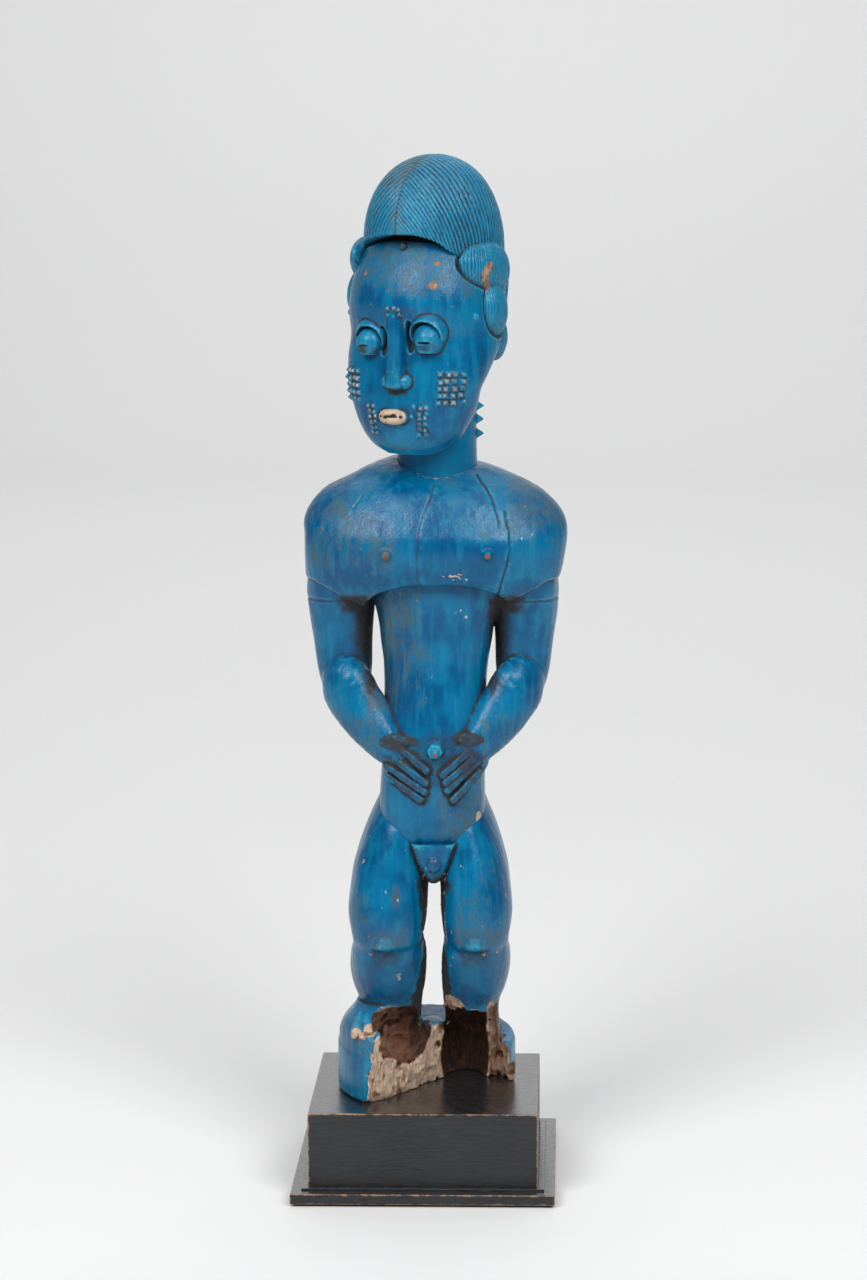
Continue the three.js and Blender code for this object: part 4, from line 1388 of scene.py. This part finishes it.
def head_marks(at):
    points, bend, _ = at
    marks = general_marks(at)
    local = into_head(points)
    u, y, z = local.T
    scar_fields = [((side, -4, 425), (8.5, 9, 10.5)) for side in (-28, 27.6)]
    scar_fields += [((side, -4, 408.6), (4.6, 9, 10)) for side in (-14.6, 14.6)]
    scars = spots(local * (1, 0.1, 1), *scar_fields, ((0.2, -4, BROW_MARK - 0.2), (6, 9, 4)))
    sockets = [((side * EYE_SPREAD, -8.5, EYES - 1), (11.5, 6, 13)) for side in (-1, 1)]
    sockets = spots(local * (1, 0.2, 1), *sockets)
    slits = [((EYE_SPREAD, -44, EYES - 5.4), (8, 6, 2.6)), ((-EYE_SPREAD, -44, EYES - 8), (8, 6, 2.6))]
    mouth_slit = spot(local, (MOUTH_MIDDLE + 0.2, -46.6, MOUTH + 0.3), (6.8, 2.6, 1.4))
    mouth_slit *= step(-47.3, -46.5, y)
    # Painted shade: between and below the raised scars, in the eye sockets, in the eye slits, under the nose,
    # in the grooves beside the hair lobes and in the mouth's cut; the scar fields are painted a little darker
    # all over
    marks.grime_and_shade = most(
        marks.grime_and_shade, 0.62 * scars * step(0.05, 0.5, bend), 0.16 * scars, 0.42 * sockets * step(0, 0.3, bend),
        # Painted shadow under the crest's front rim: the band of scalp above the hairline
        0.9 * step(0, 2, z - hairline(u)) * step(-5, -20, y),
        0.8 * spot(local, (0.9, -46, NOSE - 5.4), (7, 6, 1.8)),
        0.7 * spots(local, *slits) * step(-0.7, 0.3, layered(points, 4, 67)),
        0.85 * beside_lobes(local), mouth_slit,
    )
    # The face's painted edge highlights are kept weaker
    marks.edge *= 0.65
    forehead = step(462, 474, z) * step(-12, -26, y)
    jaw = groove(z - 394 - 0.03 * u ** 2, 1) * (y < 0)
    ridge = spot(local, (0.7, -48, 440), (6, 8, 16))
    marks.wear = most(0.16, 0.62 * forehead, 0.7 * jaw, 0.45 * ridge)
    lips = spot(local, (MOUTH_MIDDLE, -46.4, MOUTH), (9.2, 4, 4.6)) * step(-43.5, -45, y)
    chips = spots(local, *HEAD_CHIPS) * 0.75
    chips = chips + 0.5 * layered(points, 3, 64) * (chips > 0)
    tips = scars * step(-0.5, -1.1, bend + 0.6 * noise(points, 2.2, 62)) * 0.62
    marks.bare = most(lips * (1 - mouth_slit), chips, tips)
    tip_tone = np.where(tips > 0.05, 0.62 + 0.35 * noise(points, 2.6, 63), 0.5)
    marks.tone = np.where(lips > 0.05, 0.5 + 0.5 * step(0.3, 0.95, lips), tip_tone)
    return marks


def hair_marks(at):
    marks = general_marks(at)
    local = into_head(at.points)
    u, y, z = local.T
    cuts = hair_cuts(local)
    knob = spot(local, (1.5, -38, KNOB), (4, 4, 4))
    tail = step(462, 450, z) * step(20, 26, np.abs(u)) * step(24, 10, y)
    # Painted shade in the cuts between the strands, and the lower sides of the back hair and the knob painted
    # darker; a painted highlight on the backs of the strands, none on the knob
    marks.grime_and_shade = most(0.8 * marks.grime_and_shade, 0.75 * cuts ** 1.5, 0.35 * tail, 0.55 * knob)
    marks.edge = most(0.7 * marks.edge, 0.6 * step(0.35, 0.05, cuts)) * (1 - knob)
    speckled = spot(local, (-8, -16, 527), (12, 22, 14)) * 0.3 + 0.25 * groove(u - 0.6, 4)
    marks.wear = 0.36 + 0.15 * step(505, 528, z) + speckled
    chip = spot(local, (38, -16, 479.5), (5, 12, 8))
    marks.bare = 0.95 * chip * step(0.9, 0.2, np.abs(u - 37.8 - 0.2 * (z - 479)) / 1.5)
    marks.tone = np.full(len(u), 0.55)
    return marks


# Materials

# Colours of the blue paint, from its deepest to its palest, the palest being painted highlight on edges, and
# of what shows through it or lies on it, the darkest brown being grime and painted shade
DEEP_BLUE = (0, 0.08, 0.205)
MIDDLE_BLUE = (0, 0.145, 0.30)
STREAK_BLUE = (0.001, 0.22, 0.37)
EDGE_HIGHLIGHT_BLUE = (0.03, 0.32, 0.47)
RUBBED_WOOD = ((0.035, 0.055, 0.05), (0.12, 0.10, 0.062))
CHIPPED_WOOD = (0.30, 0.19, 0.10)
GRIME_AND_SHADE_BROWN = ((0.016, 0.013, 0.012), (0.05, 0.04, 0.032))

# Colours of bare wood and of the plinth
ROTTEN_WOOD = ((0.02, 0.009, 0.006), (0.17, 0.07, 0.042))
PALE_WOOD = ((0.30, 0.165, 0.10), (0.66, 0.49, 0.36))
FIBRE = (0.10, 0.05, 0.03)
BLACK = ((0.0075, 0.008, 0.0095), (0.021, 0.0225, 0.026))
WORN_BLACK = (0.024, 0.025, 0.028)
ORANGE_WOOD = ((0.24, 0.10, 0.04), (0.42, 0.25, 0.14))


class Value:
    """What a node of a material gives, so that sums with it can be written plainly."""

    def __init__(self, nodes, socket):
        self.nodes = nodes
        self.socket = socket

    def __add__(self, other):
        return self.nodes.math("ADD", self, other)

    def __sub__(self, other):
        return self.nodes.math("SUBTRACT", self, other)

    def __rsub__(self, other):
        return self.nodes.math("SUBTRACT", other, self)

    def __mul__(self, other):
        return self.nodes.math("MULTIPLY", self, other)


class Nodes:
    """Short names for the nodes that a material is built from."""

    def __init__(self, name):
        self.material = bpy.data.materials.new(name)
        self.material.use_nodes = True
        self.tree = self.material.node_tree

    def feed(self, sockets, values):
        for key, value in values.items():
            if isinstance(value, Value):
                self.tree.links.new(value.socket, sockets[key])
            else:
                sockets[key].default_value = value

    def shade(self, values):
        """Gives the material's shader its values."""
        self.feed(self.tree.nodes["Principled BSDF"].inputs, values)

    def node(self, kind, values, **settings):
        """The outputs of a new node."""
        node = self.tree.nodes.new("ShaderNode" + kind)
        for name, setting in settings.items():
            setattr(node, name, setting)
        self.feed(node.inputs, values)
        return {key: Value(self, socket) for i, socket in enumerate(node.outputs) for key in (i, socket.name)}

    def math(self, operation, *values):
        return self.node("Math", dict(enumerate(values)), operation=operation)[0]

    def place(self, stretch=(1, 1, 1)):
        """The point's own place on the object, in metres, with each axis scaled."""
        own = self.node("TexCoord", {})["Object"]
        return self.node("Mapping", {"Vector": own, "Scale": stretch})["Vector"]

    def noise(self, vector, scale, detail=3, rough=0.55, distortion=0.0):
        values = {"Vector": vector, "Scale": scale, "Detail": detail, "Roughness": rough}
        return self.node("TexNoise", {**values, "Distortion": distortion})[0]

    def shake(self, vector, scale, amount, detail=3, rough=0.55):
        """Noise about 0."""
        return (self.noise(vector, scale, detail, rough) - 0.5) * amount

    def mark(self, name):
        return self.node("Attribute", {}, attribute_name=name)["Fac"]

    def span(self, value, low, high, bottom=0.0, top=1.0):
        """Value taken from low..high to bottom..top, eased and held within it."""
        values = dict(enumerate((value, low, high, bottom, top)))
        return self.node("MapRange", values, interpolation_type="SMOOTHSTEP")[0]

    def mix(self, share, a, b):
        a, b = (value if isinstance(value, Value) else (*value, 1) for value in (a, b))
        return self.node("Mix", {0: share, 6: a, 7: b}, data_type="RGBA")[2]

    def bump(self, height, strength, distance):
        normal = self.node("Bump", {"Strength": strength, "Distance": distance, "Height": height})["Normal"]
        self.shade({"Normal": normal})


def blue_paint():
    """Old blue paint over dark wood: rubbed through in streaks, paler on edges as painted highlight, grimy
    and painted dark as shade in hollows, gone where it is bare.
    """
    n = Nodes("blue_painted_wood")
    whole = n.place()
    upright = n.place((1, 1, 0.13))
    patch = n.noise(whole, 45, 4)
    streak = n.noise(upright, 900, 4, 0.6)
    broad_streak = n.noise(upright, 240)
    speck = n.noise(whole, 1500, 2)
    wear = n.mark("wear")
    deep = n.mix(n.span(patch, 0.38, 0.62), DEEP_BLUE, MIDDLE_BLUE)
    deep = n.mix(n.span(broad_streak, 0.45, 0.7, 0, 0.5), deep, STREAK_BLUE)
    # Painted highlight: the edges are painted a paler blue
    blue = n.mix(n.mark("edge") * n.span(streak, 0.3, 0.6, 0.3, 1), deep, EDGE_HIGHLIGHT_BLUE)
    drawn = (streak * 0.7 + broad_streak * 0.3) * 0.65 + patch * 0.35
    rubbed = n.span(drawn + wear * 0.26 + n.shake(whole, 1100, 0.24, 3, 0.65), 0.62, 0.78, 0, 0.7)
    colour = n.mix(rubbed, blue, n.mix(speck, *RUBBED_WOOD))
    chipped = n.span(n.noise(whole, 260, 4, 0.65) + wear * 0.06, 0.715, 0.74, 0, 0.85)
    colour = n.mix(chipped, colour, CHIPPED_WOOD)
    # Grime and painted shade: the hollows and creases are painted dark brown and made rougher
    dirt_and_shade = n.mark("grime_and_shade") * n.span(n.noise(whole, 330, 4, 0.65), 0.25, 0.6, 0.55, 1.15)
    dirt_and_shade = n.span(dirt_and_shade, 0.12, 0.85, 0, 0.96)
    colour = n.mix(dirt_and_shade, colour, n.mix(speck, *GRIME_AND_SHADE_BROWN))
    bare = n.span(n.mark("bare") + n.shake(whole, 500, 0.5), 0.42, 0.58)
    matt = n.math("MAXIMUM", bare * 0.85, dirt_and_shade * 0.72)
    satin = n.span(rubbed + patch * 0.3, 0, 0.9, 0.2, 0.42)
    n.shade({
        "Base Color": n.mix(bare, colour, raw_wood(n, whole, upright)),
        "Roughness": n.math("MAXIMUM", satin, matt),
        "Specular IOR Level": 0.27,
    })
    height = streak * 0.5 + n.noise(whole, 700) * 0.5 - rubbed * 0.3 + bare * n.noise(upright, 900, 4, 0.7)
    n.bump(height, 0.5, 0.0006)
    return n.material


def raw_wood(n, whole, upright):
    """Bare wood, from dark brown rot to pale worm-eaten tan."""
    tone = n.mark("tone") + n.shake(whole, 190, 0.75, 5, 0.7)
    dark = n.mix(n.span(tone, 0, 0.4), *ROTTEN_WOOD)
    pale = n.mix(n.span(tone, 0.4, 0.95), *PALE_WOOD)
    colour = n.mix(n.span(tone, 0.3, 0.6), dark, pale)
    return n.mix(n.span(n.noise(upright, 900, 3, 0.7), 0.35, 0.6, 0.45, 0), colour, FIBRE)


def black_paint(name, half, low, high):
    """Black paint over wavy grain, rubbed through to orange wood along the edges of a box."""
    n = Nodes(name)
    whole = n.place()
    grain = n.noise(n.place((0.09, 1, 1)), 1500, 3, 0.6, 0.6)
    at = n.node("SeparateXYZ", {0: whole})
    a, b = (half[axis] * MM - n.math("ABSOLUTE", at[axis]) for axis in range(2))
    c = n.math("MINIMUM", at[2] - low * MM, high * MM - at[2])
    least, greatest = (n.math(kind, n.math(kind, a, b), c) for kind in ("MINIMUM", "MAXIMUM"))
    edge_gap = a + b + c - least - greatest
    worn = n.span(edge_gap + n.shake(whole, 240, 2.6 * MM, 4, 0.65), 0.3 * MM, 0.75 * MM, 1, 0)
    black = n.mix(n.span(grain, 0.35, 0.65), *BLACK)
    black = n.mix(n.span(n.noise(whole, 30), 0.35, 0.7, 0, 0.4), black, WORN_BLACK)
    normal = n.node("TexCoord", {})["Normal"]
    level = n.span(n.node("SeparateXYZ", {0: normal})[2], 0.6, 0.95)
    n.shade({
        "Base Color": n.mix(worn * 0.85, black, n.mix(n.noise(whole, 700, 2), *ORANGE_WOOD)),
        "Roughness": n.span(grain, 0.3, 0.7, 0.3, 0.46) - level * 0.14,
        "Coat Weight": level,
        "Coat Roughness": 0.27,
        "Coat IOR": 1.95,
    })
    n.bump(grain, 0.35, 0.0005)
    return n.material


# Camera, light and floor

def photo_camera():
    data = bpy.data.cameras.new("photo_camera")
    data.sensor_width = 36
    data.lens = FOCAL_PIXELS / PICTURE[1] * data.sensor_width
    data.shift_x = (PICTURE[0] / 2 - AIM_COLUMN) / PICTURE[1]
    camera = bpy.data.objects.new("photo_camera", data)
    camera.location = Vector(CAMERA_PLACE) * MM
    camera.rotation_euler = Euler((math.radians(90 + CAMERA_TIP), 0, math.radians(CAMERA_TURN)))
    bpy.context.scene.collection.objects.link(camera)
    bpy.context.scene.camera = camera


def studio_floor():
    """A pale floor that sweeps up behind."""
    profile = [(-SWEEP_FRONT, 0), (SWEEP_START, 0)]
    for i in range(1, SWEEP_STEPS + 1):
        angle = i / SWEEP_STEPS * math.pi / 2
        profile.append((SWEEP_START + SWEEP_RADIUS * math.sin(angle), SWEEP_RADIUS * (1 - math.cos(angle))))
    profile.append((SWEEP_START + SWEEP_RADIUS, SWEEP_TOP))
    points = np.array([[x, y, z] for y, z in profile for x in (-SWEEP_SIDE, SWEEP_SIDE)]) / MM
    faces = np.array([[2 * i, 2 * i + 1, 2 * i + 3, 2 * i + 2] for i in range(len(profile) - 1)])
    floor = mesh_object("studio_floor", points, faces)
    n = Nodes("studio_floor")
    n.shade({"Base Color": (*SWEEP_COLOUR, 1), "Roughness": SWEEP_ROUGHNESS})
    floor.data.materials.append(n.material)


def studio_light():
    """Large soft lights and a little light from all round."""
    for name, place, target, size, power in LIGHTS:
        data = bpy.data.lights.new(name, "AREA")
        data.shape = "RECTANGLE"
        data.size, data.size_y = size
        data.energy = power
        light = bpy.data.objects.new(name, data)
        light.location = place
        aim = Vector(target) - Vector(place)
        light.rotation_euler = aim.to_track_quat("-Z", "Y").to_euler()
        bpy.context.scene.collection.objects.link(light)
    world = bpy.data.worlds.new("studio")
    world.use_nodes = True
    background = world.node_tree.nodes["Background"].inputs
    background["Color"].default_value = (*WORLD_COLOUR, 1)
    background["Strength"].default_value = WORLD_STRENGTH
    bpy.context.scene.world = world
    bpy.context.scene.view_settings.view_transform = "Standard"


def mark_points(made, marks_of, block):
    """Stores the marks of each point on the final mesh."""
    mesh = made.data
    points, normals = np.empty((2, len(mesh.vertices) * 3))
    mesh.vertices.foreach_get("co", points)
    mesh.vertices.foreach_get("normal", normals)
    points = points.reshape(-1, 3) / MM
    edges = np.empty(len(mesh.edges) * 2, np.int32)
    mesh.edges.foreach_get("vertices", edges)
    bend = bend_of(points, normals.reshape(-1, 3), edges.reshape(-1, 2))
    for name, values in vars(marks_of(Sample(points, bend, block))).items():
        attribute = mesh.attributes.new(name, "FLOAT", "POINT")
        attribute.data.foreach_set("value", np.clip(values, 0, 1).astype(np.float32))


def piece(name, box, carve, relief, marks_of, material, turned=False):
    """Carves one piece of the figure and gives it its fine relief, marks and paint."""
    block = Block(*box, CELL[name] * COARSE)
    carve(block)
    surface = surface_of(block)
    points = relaxed(surface.points, edges_of(surface.quads))
    points = points + relief(points)[:, None] * normals_of(points, surface.quads)
    if turned:
        points = out_of_head(points)
    made = thinned(mesh_object(name, points, surface.quads))
    mark_points(made, marks_of, block)
    made.data.materials.append(material)
    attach(made, "root")
    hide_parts("figure")


def dressed_plinth():
    """The plinth keeps its solids and gets its paint, worn along their edges."""
    sizes = {
        "plinth_block": (BLOCK, SLAB[2] - BLOCK_SUNK, PLINTH_TOP),
        "plinth_slab": (SLAB, SLAB_WEAR_FOOT, SLAB[2]),
    }
    for name, (size, low, high) in sizes.items():
        material = black_paint(name, (size[0] / 2, size[1] / 2), low, high)
        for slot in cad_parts[name].material_slots:
            slot.material = material


photo_camera()
paint = blue_paint()
piece("hair", ((-46, -50, 436), (46, 46, 543)), carve_hair, hair_relief, hair_marks, paint, turned=True)
piece("head", ((-46, -54, 368), (46, 40, 506)), carve_head, head_relief, head_marks, paint, turned=True)
piece("torso", ((-66, -46, 180), (78, 40, 390)), carve_torso, torso_relief, torso_marks, paint)
piece("legs", ((-52, -52, 46), (54, 52, 222)), carve_legs, legs_relief, legs_marks, paint)
dressed_plinth()
studio_floor()
studio_light()
